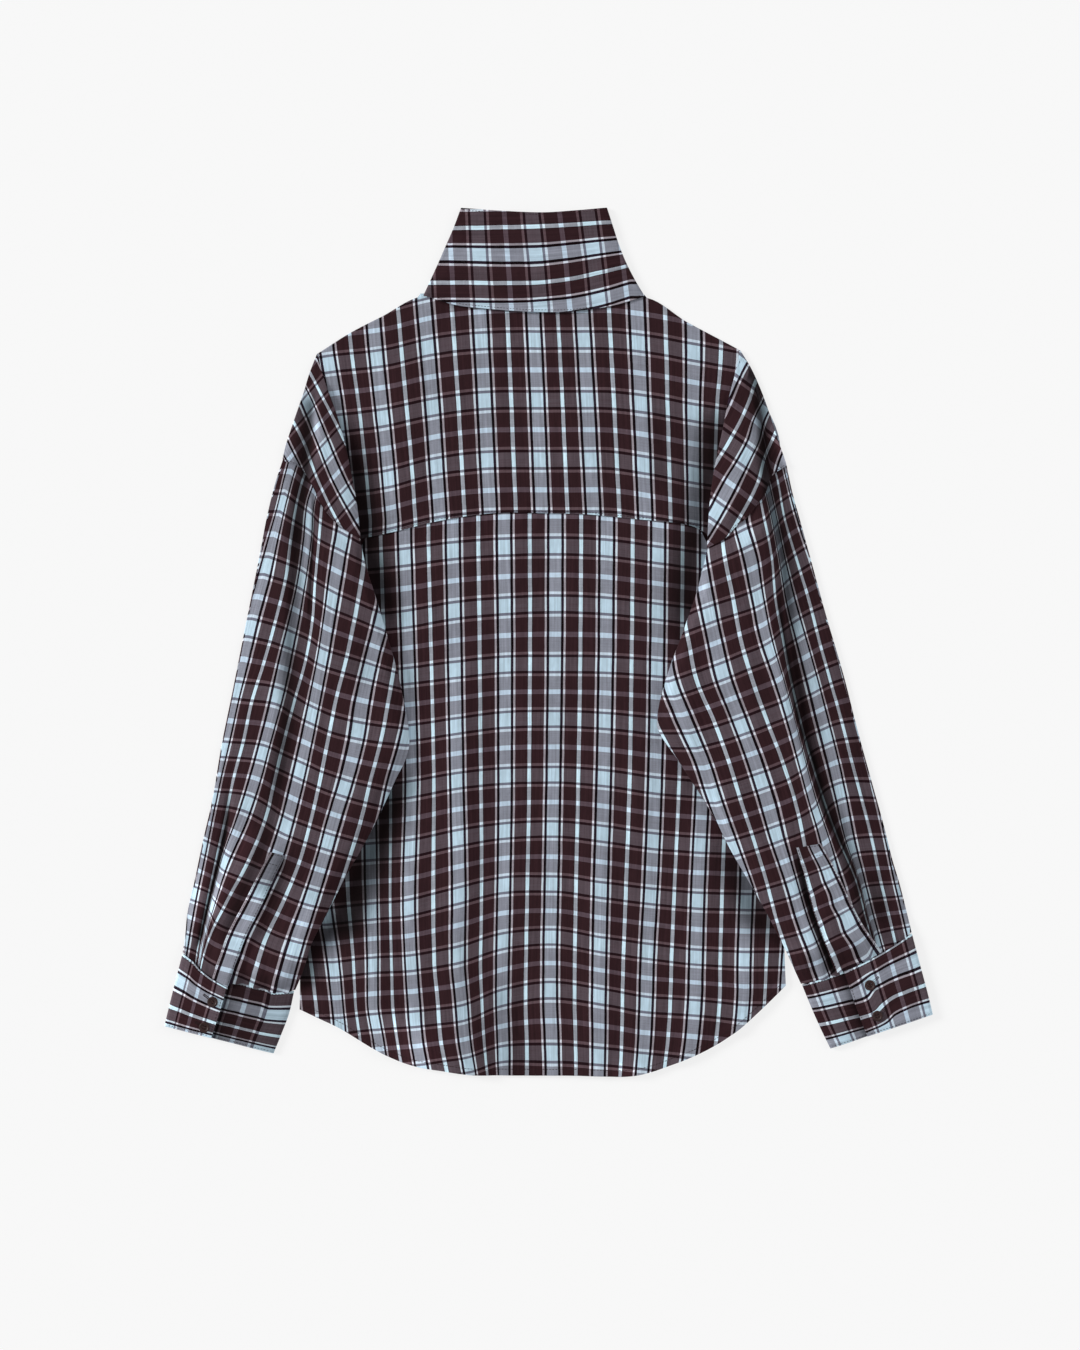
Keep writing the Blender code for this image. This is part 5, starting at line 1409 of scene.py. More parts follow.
def sleeve_levels(side, t, c):
    """(flat, middle of the lower layer, middle of the upper layer) of a sleeve."""
    flat, width, crown, down = sleeve_flat(side, t, c)
    gap = outside(flat, BODY)
    lower = UNDER_SLEEVE * (1 - smooth((gap - 5.0) / LANDING)) + CLOTH / 2 + 0.05
    inner_flat = sleeve_flat(side, t[:, :1], np.ones_like(t[:, :1]))[0]
    inner_low = UNDER_SLEEVE * (1 - smooth((outside(inner_flat, BODY) - 5.0) / LANDING))
    to_inner, to_outer = (1 - c) * width, c * width
    base = 2.6 + inner_low * smooth(c / 0.8)
    body = crown * 1.25 * np.clip(4 * c * (1 - c), 0, 1) ** 0.6
    lift = 3.8 * smooth(to_inner / 9.0) * smooth(to_outer / 40.0)
    inner_edge = 4.4 * smooth(c / 0.9) * (1 - 0.5 * smooth((t - 9.5) / 2.0))
    x, y = flat[..., 0], flat[..., 1]
    relief = folds(x, y, LEFT_FOLDS if side == "left" else RIGHT_FOLDS)
    relief = relief + ripple(x, y, 41 if side == "left" else 43, 52.0, 0.40)
    free = smooth(to_inner / 14.0) * smooth(to_outer / 10.0)
    upper = base + body + lift + inner_edge + relief * free
    seam = seam_top(c) - 0.5
    blend = 1 - smooth(t / 1.3)
    upper = upper * (1 - blend) + seam * blend
    pucker = 0.35 * np.sin(c * width / 2.2 + 0.8 * np.sin(c * width / 8.0)) * np.exp(-((t / 0.35) ** 2))
    gather = 0.8 * np.sin(c * width / 3.4 + 1.3 * np.sin(c * width / 17.0)) * smooth((t - 11.1) / 0.9)
    ending = smooth((t - 11.25) / 0.75)
    upper = upper * (1 - ending) + (4.7 + 0.5 * np.sin(math.pi * c)) * ending
    upper = upper + (pucker + gather) * free
    upper = np.maximum(upper, lower + CLOTH + 0.5)
    return flat, lower, upper, width, down


def sleeve_weave(side, x, y):
    if side == "left":
        warp = by_height(SLEEVE_LEFT_WARP, 0, 0.5, x, y)
        weft = by_column(SLEEVE_LEFT_WEFT, range(5), 1, warp, y)
    else:
        warp = by_height(SLEEVE_RIGHT_WARP, 0, 0.5, x, y)
        weft = by_column(SLEEVE_RIGHT_WEFT, range(5), 1, warp, y)
    return warp, weft


def make_sleeve(side):
    rows, upper_count, lower_count, turn = 170, 84, 40, 8
    t = np.linspace(0, 12, rows + 1)
    c_up = np.linspace(0, 1, upper_count + 1)
    T, C = np.meshgrid(t, c_up, indexing="ij")
    flat, low_u, upper, width, down = sleeve_levels(side, T, C)
    c_low = np.linspace(1, 0, lower_count + 1)
    TL, CL = np.meshgrid(t, c_low, indexing="ij")
    flat_low, lower, _, _, _ = sleeve_levels(side, TL, CL)
    way = flat[:, -1] - flat[:, 0]
    unit = way / np.linalg.norm(way, axis=1)[:, None]

    def edge(points_up, z_up, z_low, outward):
        """Round the cloth over a folded edge, from the upper layer to the lower one."""
        middle, radius = (z_up + z_low) / 2, (z_up - z_low) / 2
        reach = np.minimum(radius, 2.6)
        out = []
        for k in range(1, turn):
            a = math.pi * k / turn
            p = points_up - outward * reach[:, None] + outward * (reach * math.sin(a))[:, None]
            out.append(np.column_stack((p, middle + radius * math.cos(a))))
        return out, reach

    inner_turn, inner_reach = edge(flat[:, -1], upper[:, -1], lower[:, 0], unit)
    outer_turn, outer_reach = edge(flat[:, 0], upper[:, 0], lower[:, -1], -unit)
    total = width[:, :1]
    squeeze = lambda share: share * (1 - (inner_reach + outer_reach)[:, None] / total) + outer_reach[:, None] / total
    up_flat = flat[:, :1] + 0 * flat
    C2 = squeeze(C)
    flat, _, _, _ = sleeve_flat(side, T, C2)
    flat_low, _, _, _ = sleeve_flat(side, TL, squeeze(CL))
    top = np.dstack((flat, upper))
    # the first and last rows run on under the shoulder's edge and the cuff
    under = np.dstack((flat_low, lower))
    ring = np.concatenate((top, np.stack(inner_turn, 1), under, np.stack(outer_turn, 1)[:, ::-1]), axis=1)
    lead_in, lead_out = ring[:1].copy(), ring[-1:].copy()
    axis_in = ring[1:2, :, :2] - ring[:1, :, :2]
    axis_in /= np.maximum(np.linalg.norm(axis_in, axis=2, keepdims=True), 1e-6)
    axis_out = ring[-1:, :, :2] - ring[-3:-2, :, :2]
    axis_out /= np.maximum(np.linalg.norm(axis_out, axis=2, keepdims=True), 1e-6)
    count = upper_count + 1
    bell = np.zeros(ring.shape[1])
    bell[:count] = smooth(np.minimum(C[0], 1 - C[0]) / 0.06)
    lead_in[0, :, :2] -= axis_in[0] * (3.0 * bell)[:, None]
    lead_in[0, :, 2] -= 0.7 * bell
    lead_out[0, :, :2] += axis_out[0] * (2.6 * bell)[:, None]
    lead_out[0, :, 2] -= 1.4 * bell
    ring[0, :, 2] -= 0.35 * bell
    ring[-1, :, 2] -= 0.9 * bell
    ring = np.concatenate((lead_in, ring, lead_out), axis=0)
    warp, weft = sleeve_weave(side, ring[..., 0], ring[..., 1])
    if side == "left":  # its stripes go on from the edges of the placket strip
        strip = along(np.array(PLACKET_LEFT, float), np.clip(t, PLACKET_LEFT[0][0], 12.0))
        strip[:, 1] = np.minimum(strip[:, 1], 0.436 + 0.03 * (12.0 - t))
        share = squeeze(C)
        for row in range(rows + 1):
            held = smooth((t[row] - PLACKET_LEFT[0][0]) / 0.4)
            if held <= 0:
                continue
            line = warp[row + 1, :count]
            at_left, at_right = np.interp(strip[row], share[row], line)
            middle = (at_left + at_right) / 2
            right_pull = (at_right - 2.112) * (1 - smooth((line - at_right - 0.10) / 0.22))
            left_pull = max(at_left - 1.790, 0.0) * (1 - smooth((at_left - 0.08 - line) / 0.20))
            warp[row + 1, :count] = line - held * np.where(line > middle, right_pull, left_pull)
        warp[0, :count], warp[-1, :count] = warp[1, :count], warp[-2, :count]
    # the lower layer is the same cloth going on round: mirror the count past each fold
    turn_at = count + turn - 2
    columns = ring.shape[1]
    steps = np.linalg.norm(np.diff(np.concatenate((ring, ring[:, :1]), axis=1), axis=1), axis=2)
    gone = np.concatenate((np.zeros((ring.shape[0], 1)), np.cumsum(steps, axis=1)), axis=1)
    rate = 1.0 / WARP_REPEAT * (1.0 if side == "left" else -1.0)
    warp_full = np.concatenate((warp, warp[:, :1]), axis=1)
    weft_full = np.concatenate((weft, weft[:, :1]), axis=1)
    from_fold = gone[:, count - 1:count]
    warp_full[:, count:] = warp_full[:, count - 1:count] + (gone[:, count:] - from_fold) * rate
    cloth = cloth_at(warp_full, weft_full)
    # painted shade in the sleeve's valleys and along its folds, painted highlights on a few ridges; none on the lower
    # layer
    painted_shading = painted_shade_map(ring[..., 0], ring[..., 1], LEFT_PAINTED_SHADE if side == "left" else RIGHT_PAINTED_SHADE)
    painted_shading[:, count:] = 1.0
    made = shell("sleeve_panel_" + side, ring, cloth, ring=True, flip=(side == "left"), painted_shading=painted_shading)
    place(made, "sleeve_" + side)
    return made, ring


def make_placket(side):
    table = np.array(PLACKET_LEFT if side == "left" else PLACKET_RIGHT, float)
    t = np.linspace(table[0, 0], 12.0, 90)
    edges = along(table, t)
    share = np.linspace(0, 1, 19)
    T = np.repeat(t[:, None], len(share), axis=1)
    if side == "left":
        edges[:, 1] = np.minimum(edges[:, 1], 0.436 + 0.03 * (12.0 - t))
    C = edges[:, :1] + (edges[:, 1:] - edges[:, :1]) * share[None, :]
    flat, lower, upper, width, down = sleeve_levels(side, T, C)
    across = share[None, :] * (C[:, -1:] - C[:, :1]) * width
    crinkle = 0.28 * np.sin(t[:, None] * 11.0 + 2.0 * share[None, :] + 1.2 * np.sin(t[:, None] * 3.1)) * np.sin(math.pi * share)[None, :]
    level = upper + CLOTH / 2 + 0.65 + crinkle + 0.45 * np.sin(math.pi * share)[None, :] ** 0.5
    level[:, [0, -1]] -= 0.25
    level[-3:] -= np.array([0.2, 0.5, 0.9])[:, None]
    grid = np.dstack((flat, level))
    x, y = flat[..., 0], flat[..., 1]
    warp, weft = sleeve_weave(side, x, y)
    centre = (C[:, :1] + C[:, -1:]) / 2
    if side == "left":
        warp = 1.7875 + share[None, :] * 0.3265 + 0 * warp
        across_mm = x - (x[:, :1] + x[:, -1:]) / 2
        weft = 5.0 + (-234.1 - y - 0.25 * across_mm) / 49.3
        top_end = 4.78  # above this the strip's own end is folded in, all of one band
        weft = np.where(weft < top_end, top_end - (top_end - weft) * 0.37, weft)
    else:
        warp = 2.205 - share[None, :] * 0.76 + 0.012 * np.sin(t[:, None] * 7.0) * np.sin(math.pi * share)[None, :] + 0 * warp
        weft = weft - 0.10 + 0.04 * np.sin(t[:, None] * 5.0)
    # painted shade: the top end of the left strip is darkened where it lies in shade
    painted_shading = np.ones(warp.shape)
    if side == "left":
        painted_shading = 1 - 0.20 * (1 - smooth((t[:, None] - 8.55) / 0.25)) * np.ones(warp.shape)
    made = shell("placket_strip_" + side, grid, cloth_at(warp, weft), 1.1, flip=(side == "right"), painted_shading=painted_shading)
    place(made, "placket_" + side)
    runs = []
    up = -1.0 if side == "right" else 1.0
    rows, columns = grid.shape[:2]
    r = np.linspace(1, rows - 3, 200)
    for edge in ("left", "right"):
        at = np.interp(r, np.arange(rows), inset(grid, 1.5, edge))
        runs += stitch_line(grid, r, at, 1.1, up=up)
    c = np.linspace(1.5, columns - 2.5, 20)
    for distance in (1.5, 11.0):
        at = np.interp(c, np.arange(columns), inset(grid, distance, "top"))
        runs += stitch_line(grid, at, c, 1.1, up=up)
    place(stitch_object("placket_stitches_" + side, runs, 0.24))
    return made, grid


# ------------------------------------------------------------- collar, cuffs
def strip_path(keys, step=1.6):
    """Even points along a smooth line through (across, height) keys."""
    keys = np.array(keys, float)
    gone = np.concatenate(([0], np.cumsum(np.linalg.norm(np.diff(keys, axis=0), axis=1))))
    fine = along(np.column_stack((gone, keys)), np.linspace(0, gone[-1], 1200))
    far = np.concatenate(([0], np.cumsum(np.linalg.norm(np.diff(fine, axis=0), axis=1))))
    turn = np.abs(np.gradient(np.unwrap(np.arctan2(np.gradient(fine[:, 1]), np.gradient(fine[:, 0]))), far))
    weight = np.concatenate(([0], np.cumsum((1.0 + 6.0 * np.clip(turn, 0, 1.0))[1:] * np.diff(far))))
    count = max(24, int(weight[-1] / step))
    return np.column_stack([np.interp(np.linspace(0, weight[-1], count), weight, fine[:, i]) for i in (0, 1)])


def make_collar():
    width = 209.0
    low, mid, top = 0.6, 1.85, 4.35
    keys = [(COLLAR_END_OF_LEFT * width, mid), (0.4 * width, mid), (0.08 * width, mid), (4.0, mid), (1.6, mid + 0.2), (0.5, (mid + top) / 2), (1.6, top - 0.2), (4.5, top)]
    keys += [(0.08 * width, top + 0.5), (0.3 * width, top + 1.2), (0.5 * width, top + 1.5), (0.7 * width, top + 1.2), (0.92 * width, top + 0.4)]
    keys += [(width - 5.0, top - 0.1), (width - 1.6, top - 0.6), (width - 0.5, (top + low) / 2), (width - 1.6, low + 0.4), (width - 5.0, low), (0.8 * width, low), (COLLAR_END_OF_RIGHT * width, low)]
    path = strip_path(keys)
    rows = 52
    shares = np.linspace(0, 1, rows + 1)
    sides = along(COLLAR_ROWS, shares)
    t = np.linspace(0, 1, 81)
    neck, rim = along(NECK, t), along(COLLAR_TOP, t)
    u = path[:, 0] / width
    turned = int(np.argmin(path[:, 0]))
    end_turn = int(np.argmax(path[:, 0]))
    under = np.ones(len(u), bool)
    under[turned:end_turn + 1] = False
    high = np.interp(u, t, rim[:, 1])
    foot = np.interp(u, t, neck[:, 1]) + 0.2
    dip = NECK_DIP * np.sin(math.pi * np.clip(u, 0, 1))
    foot = foot - np.where(under, dip, 0.0)
    x = sides[:, :1] + (sides[:, 1:] - sides[:, :1]) * u[None, :]
    y = high[None, :] + (foot - high)[None, :] * shares[:, None]
    z = np.repeat(path[None, :, 1], rows + 1, axis=0)
    face = (~under)[None, :] * smooth(np.minimum(u, 1 - u) / 0.06)[None, :]
    puff = 0.7 * np.sin(math.pi * shares)[:, None] + 0.5 * smooth((0.10 - shares) / 0.1)[:, None] * 0
    soft = 0.5 * np.sin(x / 26.0 + y / 40.0) * np.sin(math.pi * shares)[:, None]
    drape = folds(x, y, (
        (((44, 400), (52, 366), (66, 330)), 0.9, 7, 9, 30, 30),
        (((-84, 396), (-92, 360), (-100, 330)), 0.8, 8, 8, 30, 30),
        (((-20, 400), (-26, 350), (-22, 318)), 0.5, 18, 18, 30, 20),
    ))
    z = z + (puff + soft + drape) * face
    z = z - 0.35 * (~under)[None, :] * (1 - smooth(shares[:, None] / 0.05))
    grid = np.dstack((x, y, z))
    # the collar's warp runs round the neck, so its warp number depends on the height
    across = by_column(COLLAR_WARP, COLLAR_WARP_AT, 0.5, x, y)
    down = by_height(COLLAR_WEFT, 0, 1, x, y)
    gone = np.concatenate(([0], np.cumsum(np.linalg.norm(np.diff(path, axis=0), axis=1))))
    before = down[:, turned:turned + 1] - (gone[turned] - gone[:turned])[None, :] / WEFT_REPEAT
    after = down[:, end_turn:end_turn + 1] + (gone[end_turn + 1:] - gone[end_turn])[None, :] / WEFT_REPEAT
    down = np.concatenate((before, down[:, turned:end_turn + 1], after), axis=1)
    made = shell("collar_band", grid, cloth_at(across, down), 1.2)
    place(made, "collar")
    rows_count, columns = grid.shape[:2]
    runs = []
    c = np.linspace(1, columns - 2, 700)
    for distance, edge in ((2.0, "top"), (2.0, "bottom")):
        at = np.interp(c, np.arange(columns), inset(grid, distance, edge))
        runs += stitch_line(grid, at, c, 1.2, lift=0.02)
    place(stitch_object("collar_stitches", runs, 0.24))
    return made, grid


def cuff_place(side, across, down):
    """Ground points for shares across and down, as arrays of one shape."""
    table = np.array(CUFF_LEFT if side == "left" else CUFF_RIGHT, float)
    values = rows_at(table, down.ravel() * (len(table) - 1)).reshape(*down.shape, 5)
    outer, inner, bow = values[..., 0:2], values[..., 2:4], values[..., 4]
    way = inner - outer
    length = np.linalg.norm(way, axis=-1, keepdims=True)
    drop = np.stack((way[..., 1], -way[..., 0]), -1) / length
    drop = np.where(drop[..., 1:2] < 0, drop, -drop)
    flat = outer + way * across[..., None] + drop * (bow * np.maximum(0.0, 4 * across * (1 - across)))[..., None]
    if side == "right":  # the band bends a little at the lap
        bend = 5.0 * (smooth((across - 0.12) / 0.30) - 0.5 * smooth((across - 0.42) / 0.4)) * np.sin(math.pi * np.clip(down, 0, 1)) ** 0.8
        flat = flat + drop * (bend * np.clip(4 * across * (1 - across), 0, 1))[..., None]
    return flat


CUFF_WIDTH = 111.0


def make_cuff(side):
    lap, width = CUFF_LAP[side], CUFF_WIDTH
    low, mid, top = 0.7, 2.45, 5.3
    keys = [((lap - CUFF_UNDERLAP) * width, mid - 0.1), (lap * width, mid), ((lap + 0.10) * width, mid + 0.7)]
    keys += [(min(lap + 0.25, 0.85) * width, mid + 1.6)]
    keys += [(width - 6.0, mid + 1.1), (width - 2.2, mid + 0.5), (width - 0.9, (low + mid) / 2 + 0.3), (width - 2.2, low + 0.2), (width - 6.0, low)]
    keys += [(0.6 * width, low), (0.2 * width, low), (5.0, low), (1.8, low + 0.3), (0.6, (low + top) / 2), (1.8, top - 0.3), (5.0, top + 0.1)]
    keys += [(0.15 * width, top + 0.7), (lap * 0.6 * width, top + 0.9), ((lap - 0.04) * width, top + 0.4), (lap * width, top + 0.1)]
    path = strip_path(keys, 1.5)
    down = np.linspace(0, 1, 42)
    A, D = np.meshgrid(path[:, 0] / width, down, indexing="xy")
    flat = cuff_place(side, A, D)
    z = np.repeat(path[None, :, 1], len(down), axis=0)
    outer_turn = len(path) - 1 - int(np.argmin(path[::-1, 0]))
    inner_turn = int(np.argmax(path[:, 0]))
    number = np.arange(len(path))
    drop = seam_drop(side, path[:, 0] / width)
    drop = np.where(number >= outer_turn, seam_drop(side, path[:, 0] / width, "lap"), drop)
    drop = np.where(number <= inner_turn, seam_drop(side, path[:, 0] / width, "under"), drop)
    flat = flat + np.array((-0.236, -0.972)) * (drop[None, :] * (1 - D) ** 1.4)[..., None]
    upper = np.zeros(len(path))
    upper[outer_turn:] = 1.0
    upper[:inner_turn] = 1.0
    face = upper[None, :] * smooth(np.minimum(path[:, 0], width - path[:, 0]) / 9.0)[None, :]
    wave = 0.55 * np.sin(path[None, :, 0] / 9.5 + 2.6 * D + (0.4 if side == "left" else 2.1)) + 0.3 * np.sin(path[None, :, 0] / 5.1 - 3.0 * D)
    z = z + (0.5 + wave) * face * np.sin(math.pi * np.clip(D, 0, 1)) ** 0.6
    z = z - 0.25 * face * (1 - smooth(D / 0.06)) - 0.25 * face * (1 - smooth((1 - D) / 0.06))
    z = np.maximum(z, 0.66)
    grid = np.dstack((flat, z))
    # the cuff's warp runs round the wrist
    gone = np.concatenate(([0], np.cumsum(np.linalg.norm(np.diff(path, axis=0), axis=1))))
    if side == "left":
        on_lap = np.interp(D, (0.0, 0.31, 0.69, 1.03), (-0.505, 0.0, 0.5, 1.0))
        on_under = np.interp(D, (0.0, 0.36, 0.70, 0.91, 1.0), (-0.505, 0.0, 0.5, 0.86, 1.0))
    else:
        raised = along(LAP_RISE, np.clip(A[0], 0, 0.64))
        raised = np.stack([np.interp(down, LAP_RISE_AT, row) for row in raised], axis=1)
        on_lap = np.interp(D + raised / 62.0, (0.0, 0.31, 0.65, 0.97, 1.2), (-0.505, 0.0, 0.5, 1.0, 1.09))
        on_under = np.interp(D, (0.0, 0.30, 0.62, 0.93, 1.0), (-0.505, 0.0, 0.5, 1.0, 1.1))
    warp = np.where((np.arange(len(path)) >= outer_turn)[None, :], on_lap, on_under)
    from_outer = gone[-1] - gone
    lap_mm = path[:, 0]
    on_left = np.interp(lap_mm, (-1.0, 5.2, 22.5, 43.4, 50.0), (-0.15, 0.0, 0.5, 1.0, 1.16))
    weft = np.where(np.arange(len(path)) >= outer_turn, on_left if side == "left" else (lap_mm - 1.5) / 50.0, 0.0)
    under_left = np.interp(lap_mm, (20.0, 50.0, 68.0, 88.0, 102.0, 113.0), (0.5, 1.14, 1.5, 1.86, 2.0, 2.12))
    under_weft = under_left if side == "left" else (lap_mm - 93.0) / 50.0 + 2.0
    weft = np.where(np.arange(len(path)) <= inner_turn, under_weft, weft)
    middle = (np.arange(len(path)) > inner_turn) & (np.arange(len(path)) < outer_turn)
    start_w = under_weft[inner_turn]
    weft = np.where(middle, start_w + (gone - gone[inner_turn]) / WEFT_REPEAT, weft)
    weft = np.repeat(weft[None, :], len(down), axis=0)
    past = path[:, 0] - lap * width  # how far the under part shows beyond the lap
    # painted shadow on the under part beside the lap's edge, fading away from it, and on the left cuff a painted
    # lightening of the lap itself
    shade = 0.30 * np.exp(-np.maximum(past, 0) / (16.0 if side == "left" else 6.0)) + (0.12 if side == "left" else 0.0)
    shade = shade * (past > -1.0) * (number <= inner_turn)
    if side == "left":
        shade = shade - 0.10 * (number >= outer_turn)
    painted_shading = np.repeat((1 - shade)[None, :], len(down), axis=0)
    made = shell("cuff_band_" + side, grid, cloth_at(warp, weft), 1.35, flip=(side == "right"), painted_shading=painted_shading)
    place(made, "cuff_" + side)
    runs = []
    up = -1.0 if side == "right" else 1.0
    rows, columns = grid.shape[:2]
    c = np.linspace(0.8, columns - 1.8, 600)
    for distance, edge in ((1.6, "top"), (1.6, "bottom")):
        at = np.interp(c, np.arange(columns), inset(grid, distance, edge))
        runs += stitch_line(grid, at, c, 1.35, up=up, lift=0.04)
    r = np.linspace(1.6, rows - 2.6, 80)
    at = np.interp(r, np.arange(rows), inset(grid, 1.6, "right"))
    runs += stitch_line(grid, r, at, 1.35, up=up, lift=0.04)
    place(stitch_object("cuff_stitches_" + side, runs, 0.24))
    return made, grid, path, outer_turn, up


def buttonhole(grid, r0, c0, c1, up, name):
    """A worked slit: close cross stitches either side of a narrow gap, and a bar across each end."""
    runs = []
    line = np.linspace(c0, c1, 60)
    slant = r0 + np.linspace(-1.8, 0.6, 60)
    points = sample(grid, slant, line) + sample(normals_of(grid), slant, line) * up * 0.80
    normal = sample(normals_of(grid), np.array([r0]), np.array([(c0 + c1) / 2]))[0] * up
    way = points[-1] - points[0]
    length = np.linalg.norm(way)
    way = way / length
    side = np.cross(normal, way)
    count = int(length / 0.42)
    for k in range(count + 1):
        at = points[0] + way * (k * length / count)
        for s in (-1, 1):
            runs.append((at + side * s * 0.25, at + side * s * 1.15, normal))
    for end in (0, 1):
        at = points[0] + way * (length * end + (0.5 if end else -0.5))
        runs.append((at - side * 1.15, at + side * 1.15, normal))
    return stitch_object(name, runs, 0.24)


def make_button(name, at, normal, side_way):
    """A turned four-hole button with a raised rim, sewn on with crossed thread."""
    profile = (
        (0.0, 0.0), (3.9, 0.0), (4.6, 0.18), (4.95, 0.6), (5.0, 1.2), (4.85, 1.75), (4.5, 2.08), (4.0, 2.16),
        (3.55, 2.02), (3.2, 1.72), (2.7, 1.58), (0.0, 1.52),
    )
    sides = 72
    bm = bmesh.new()
    rings = []
    for r, z in profile:
        if r == 0.0:
            rings.append([bm.verts.new((0, 0, z * 0.001))])
        else:
            rings.append([bm.verts.new((r * math.cos(2 * math.pi * k / sides) * 0.001, r * math.sin(2 * math.pi * k / sides) * 0.001, z * 0.001)) for k in range(sides)])
    for lower, upper in zip(rings, rings[1:]):
        for k in range(sides):
            n = (k + 1) % sides
            if len(lower) == 1:
                bm.faces.new((lower[0], upper[k], upper[n]))
            elif len(upper) == 1:
                bm.faces.new((lower[k], lower[n], upper[0]))
            else:
                bm.faces.new((lower[k], lower[n], upper[n], upper[k]))
    bmesh.ops.recalc_face_normals(bm, faces=bm.faces)
    mesh = bpy.data.meshes.new(name + "_disc")
    bm.to_mesh(mesh)
    bm.free()
    disc = bpy.data.objects.new(name + "_disc", mesh)
    bpy.context.scene.collection.objects.link(disc)
    drills = []
    for sx, sy in ((1, 1), (-1, 1), (-1, -1), (1, -1)):
        bpy.ops.mesh.primitive_cylinder_add(vertices=20, radius=0.00072, depth=0.008, location=(sx * 0.00125, sy * 0.00125, 0.001))
        drill = bpy.context.object
        drills.append(drill)
        cut = disc.modifiers.new("hole", "BOOLEAN")
        cut.operation = "DIFFERENCE"
        cut.object = drill
    bpy.context.view_layer.update()
    whole = bpy.data.meshes.new_from_object(disc.evaluated_get(bpy.context.evaluated_depsgraph_get()))
    bpy.data.objects.remove(disc, do_unlink=True)
    for drill in drills:
        bpy.data.objects.remove(drill, do_unlink=True)
    whole.name = name
    whole.materials.clear()
    whole.materials.append(HORN)
    up = normal / np.linalg.norm(normal)
    x_way = side_way - up * np.dot(side_way, up)
    x_way /= np.linalg.norm(x_way)
    y_way = np.cross(up, x_way)
    co = np.zeros(len(whole.vertices) * 3)
    whole.vertices.foreach_get("co", co)
    co = co.reshape(-1, 3)
    turned = co[:, :1] * x_way + co[:, 1:2] * y_way + co[:, 2:] * up + np.array(at) * 0.001
    whole.vertices.foreach_set("co", turned.ravel())
    whole.update()
    whole.shade_smooth()
    whole.set_sharp_from_angle(angle=math.radians(38))
    made = bpy.data.objects.new(name + "_turned", whole)
    bpy.context.scene.collection.objects.link(made)
    place(made, name, slot="button")
    runs = []
    for row in (-1.25, 1.25):
        for offset in (-0.32, 0.0, 0.32):
            start = at + x_way * -1.45 + y_way * (row + offset) + up * 1.72
            end = at + x_way * 1.45 + y_way * (row + offset) + up * 1.72
            runs.append((start, end, up))
    for k in range(10):
        angle = 2 * math.pi * k / 10
        foot = at + x_way * 1.1 * math.cos(angle) + y_way * 1.1 * math.sin(angle)
        runs.append((foot - up * 0.45, foot + up * 0.2, x_way * math.cos(angle) + y_way * math.sin(angle)))
    place(stitch_object(name + "_thread", runs, 0.27), slot="shirting")
    return made


# -------------------------------------------------------------------- build
make_front("right")
make_front("left")
back, back_points = make_back()
yoke, yoke_points = make_yoke()
collar, collar_points = make_collar()
cuffs = {}
for where in ("left", "right"):
    make_sleeve(where)
    make_placket(where)
    cuffs[where] = make_cuff(where)

for name, where, across, down in BUTTONS:
    _, grid, path, outer_turn, up = cuffs[where]
    columns = np.arange(len(path))
    lap_columns = columns[outer_turn:]
    c = np.interp(across * CUFF_WIDTH, path[outer_turn:, 0], lap_columns)
    r = down * (grid.shape[0] - 1)
    normal = sample(normals_of(grid), np.array([r]), np.array([c]))[0] * up
    at = sample(grid, np.array([r]), np.array([c]))[0]
    side_way = sample(grid, np.array([r]), np.array([c + 2.0]))[0] - at
    make_button(name, at + normal * (1.35 / 2 + 0.35), normal, side_way)
    c0 = np.interp(across * CUFF_WIDTH - 9.5, path[outer_turn:, 0], lap_columns)
    c1 = np.interp(across * CUFF_WIDTH + 4.0, path[outer_turn:, 0], lap_columns)
    place(buttonhole(grid, r, c0, c1, up, name + "_hole"))

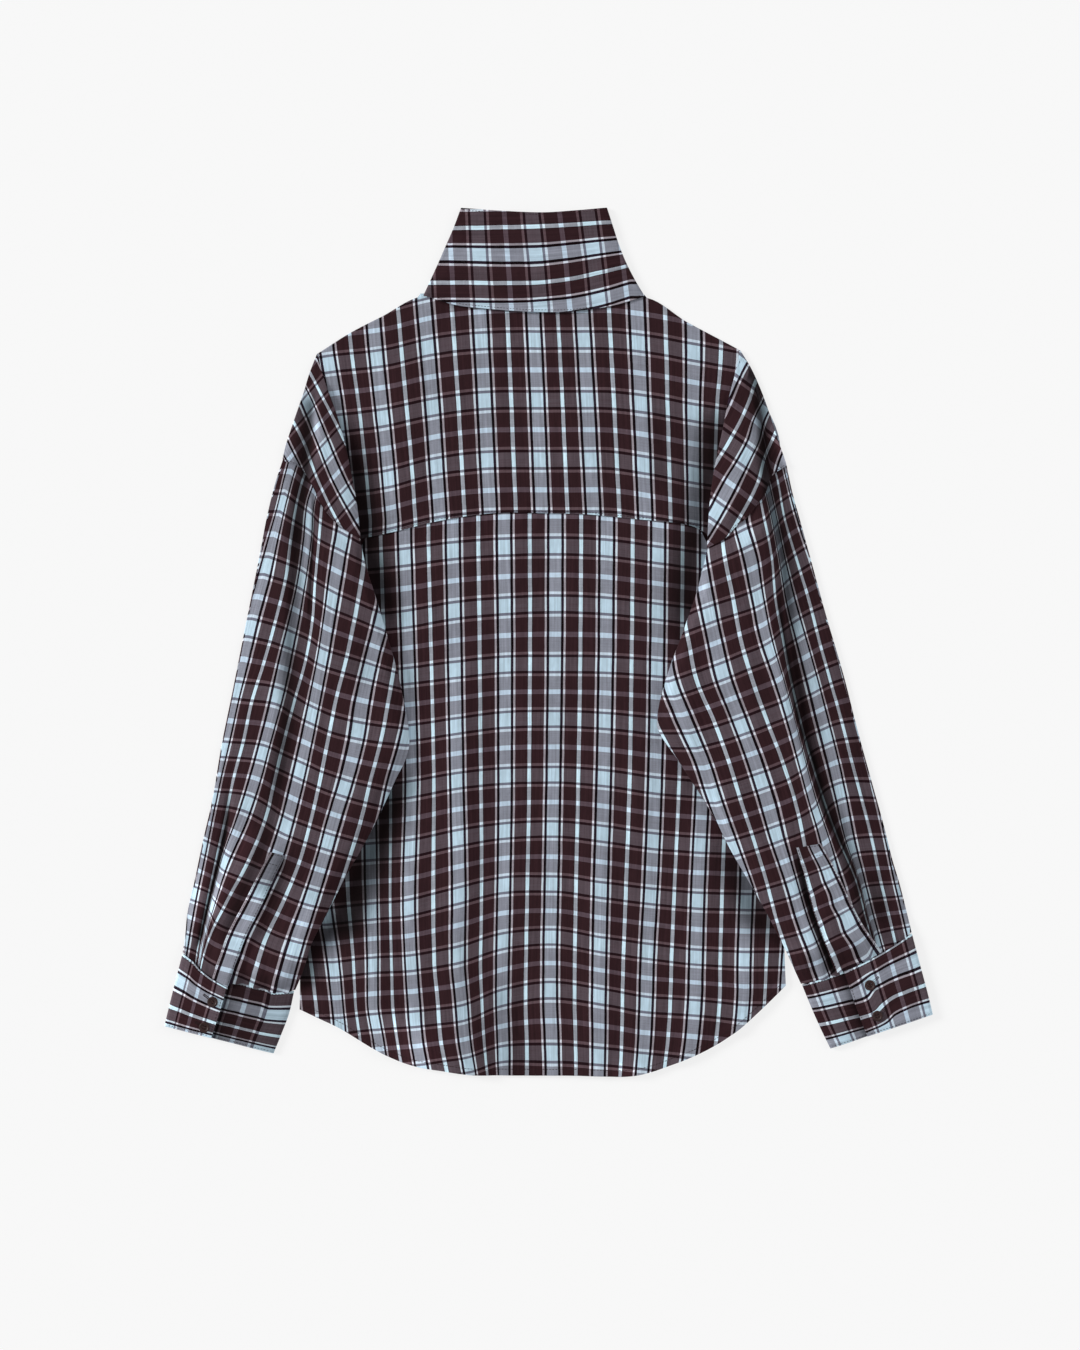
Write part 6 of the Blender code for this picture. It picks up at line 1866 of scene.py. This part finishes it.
# -------------------------------------------------------- floor, light, view
bpy.ops.mesh.primitive_plane_add(size=14.0, location=(0, 0, -0.0003))
floor = bpy.context.object
floor.name = "floor"
pale = bpy.data.materials.new("pale_floor")
pale.use_nodes = True
nodes, links = pale.node_tree.nodes, pale.node_tree.links
for node in list(nodes):
    if node.type != "OUTPUT_MATERIAL":
        nodes.remove(node)
glow = nodes.new("ShaderNodeEmission")
glow.inputs[0].default_value = (0.939, 0.939, 0.939, 1.0)
glow.inputs[1].default_value = 1.0
matt = nodes.new("ShaderNodeBsdfDiffuse")
matt.inputs[0].default_value = (0.93, 0.93, 0.93, 1.0)
blend = nodes.new("ShaderNodeMixShader")
blend.inputs[0].default_value = 0.18
links.new(glow.outputs[0], blend.inputs[1])
links.new(matt.outputs[0], blend.inputs[2])
links.new(blend.outputs[0], nodes["Material Output"].inputs[0])
floor.data.materials.append(pale)

world = bpy.context.scene.world or bpy.data.worlds.new("studio")
bpy.context.scene.world = world
world.use_nodes = True
background = world.node_tree.nodes.get("Background") or world.node_tree.nodes.new("ShaderNodeBackground")
background.inputs[0].default_value = (1.0, 1.0, 1.0, 1.0)
background.inputs[1].default_value = 0.44


def sun(name, azimuth, elevation, share, spread):
    """A soft far light that gives this share of the white on a level surface."""
    data = bpy.data.lights.new(name, "SUN")
    data.angle = math.radians(spread)
    data.energy = share * math.pi / math.sin(math.radians(elevation))
    made = bpy.data.objects.new(name, data)
    a, e = math.radians(azimuth), math.radians(elevation)
    way = (math.cos(e) * math.cos(a), math.cos(e) * math.sin(a), math.sin(e))
    from mathutils import Vector
    made.rotation_euler = Vector(way).to_track_quat("Z", "Y").to_euler()
    bpy.context.scene.collection.objects.link(made)
    return made


sun("key", 162, 24, 0.42, 18)
sun("fill", 15, 28, 0.14, 30)

camera_data = bpy.data.cameras.new("camera")
camera_data.sensor_fit = "VERTICAL"
camera_data.sensor_height = 24.0
distance = 3.2
camera_data.lens = 24.0 * distance / (1350 * 0.000944)
camera_data.clip_end = 50.0
camera = bpy.data.objects.new("camera", camera_data)
camera.location = (-0.0081, -0.0312, distance + 0.004)
camera.rotation_euler = (0.0, 0.0, 0.0)
bpy.context.scene.collection.objects.link(camera)
bpy.context.scene.camera = camera
bpy.context.scene.view_settings.view_transform = "Standard"
bpy.context.scene.view_settings.look = "None"
bpy.context.scene.view_settings.exposure = 0.0
bpy.context.scene.view_settings.gamma = 1.0
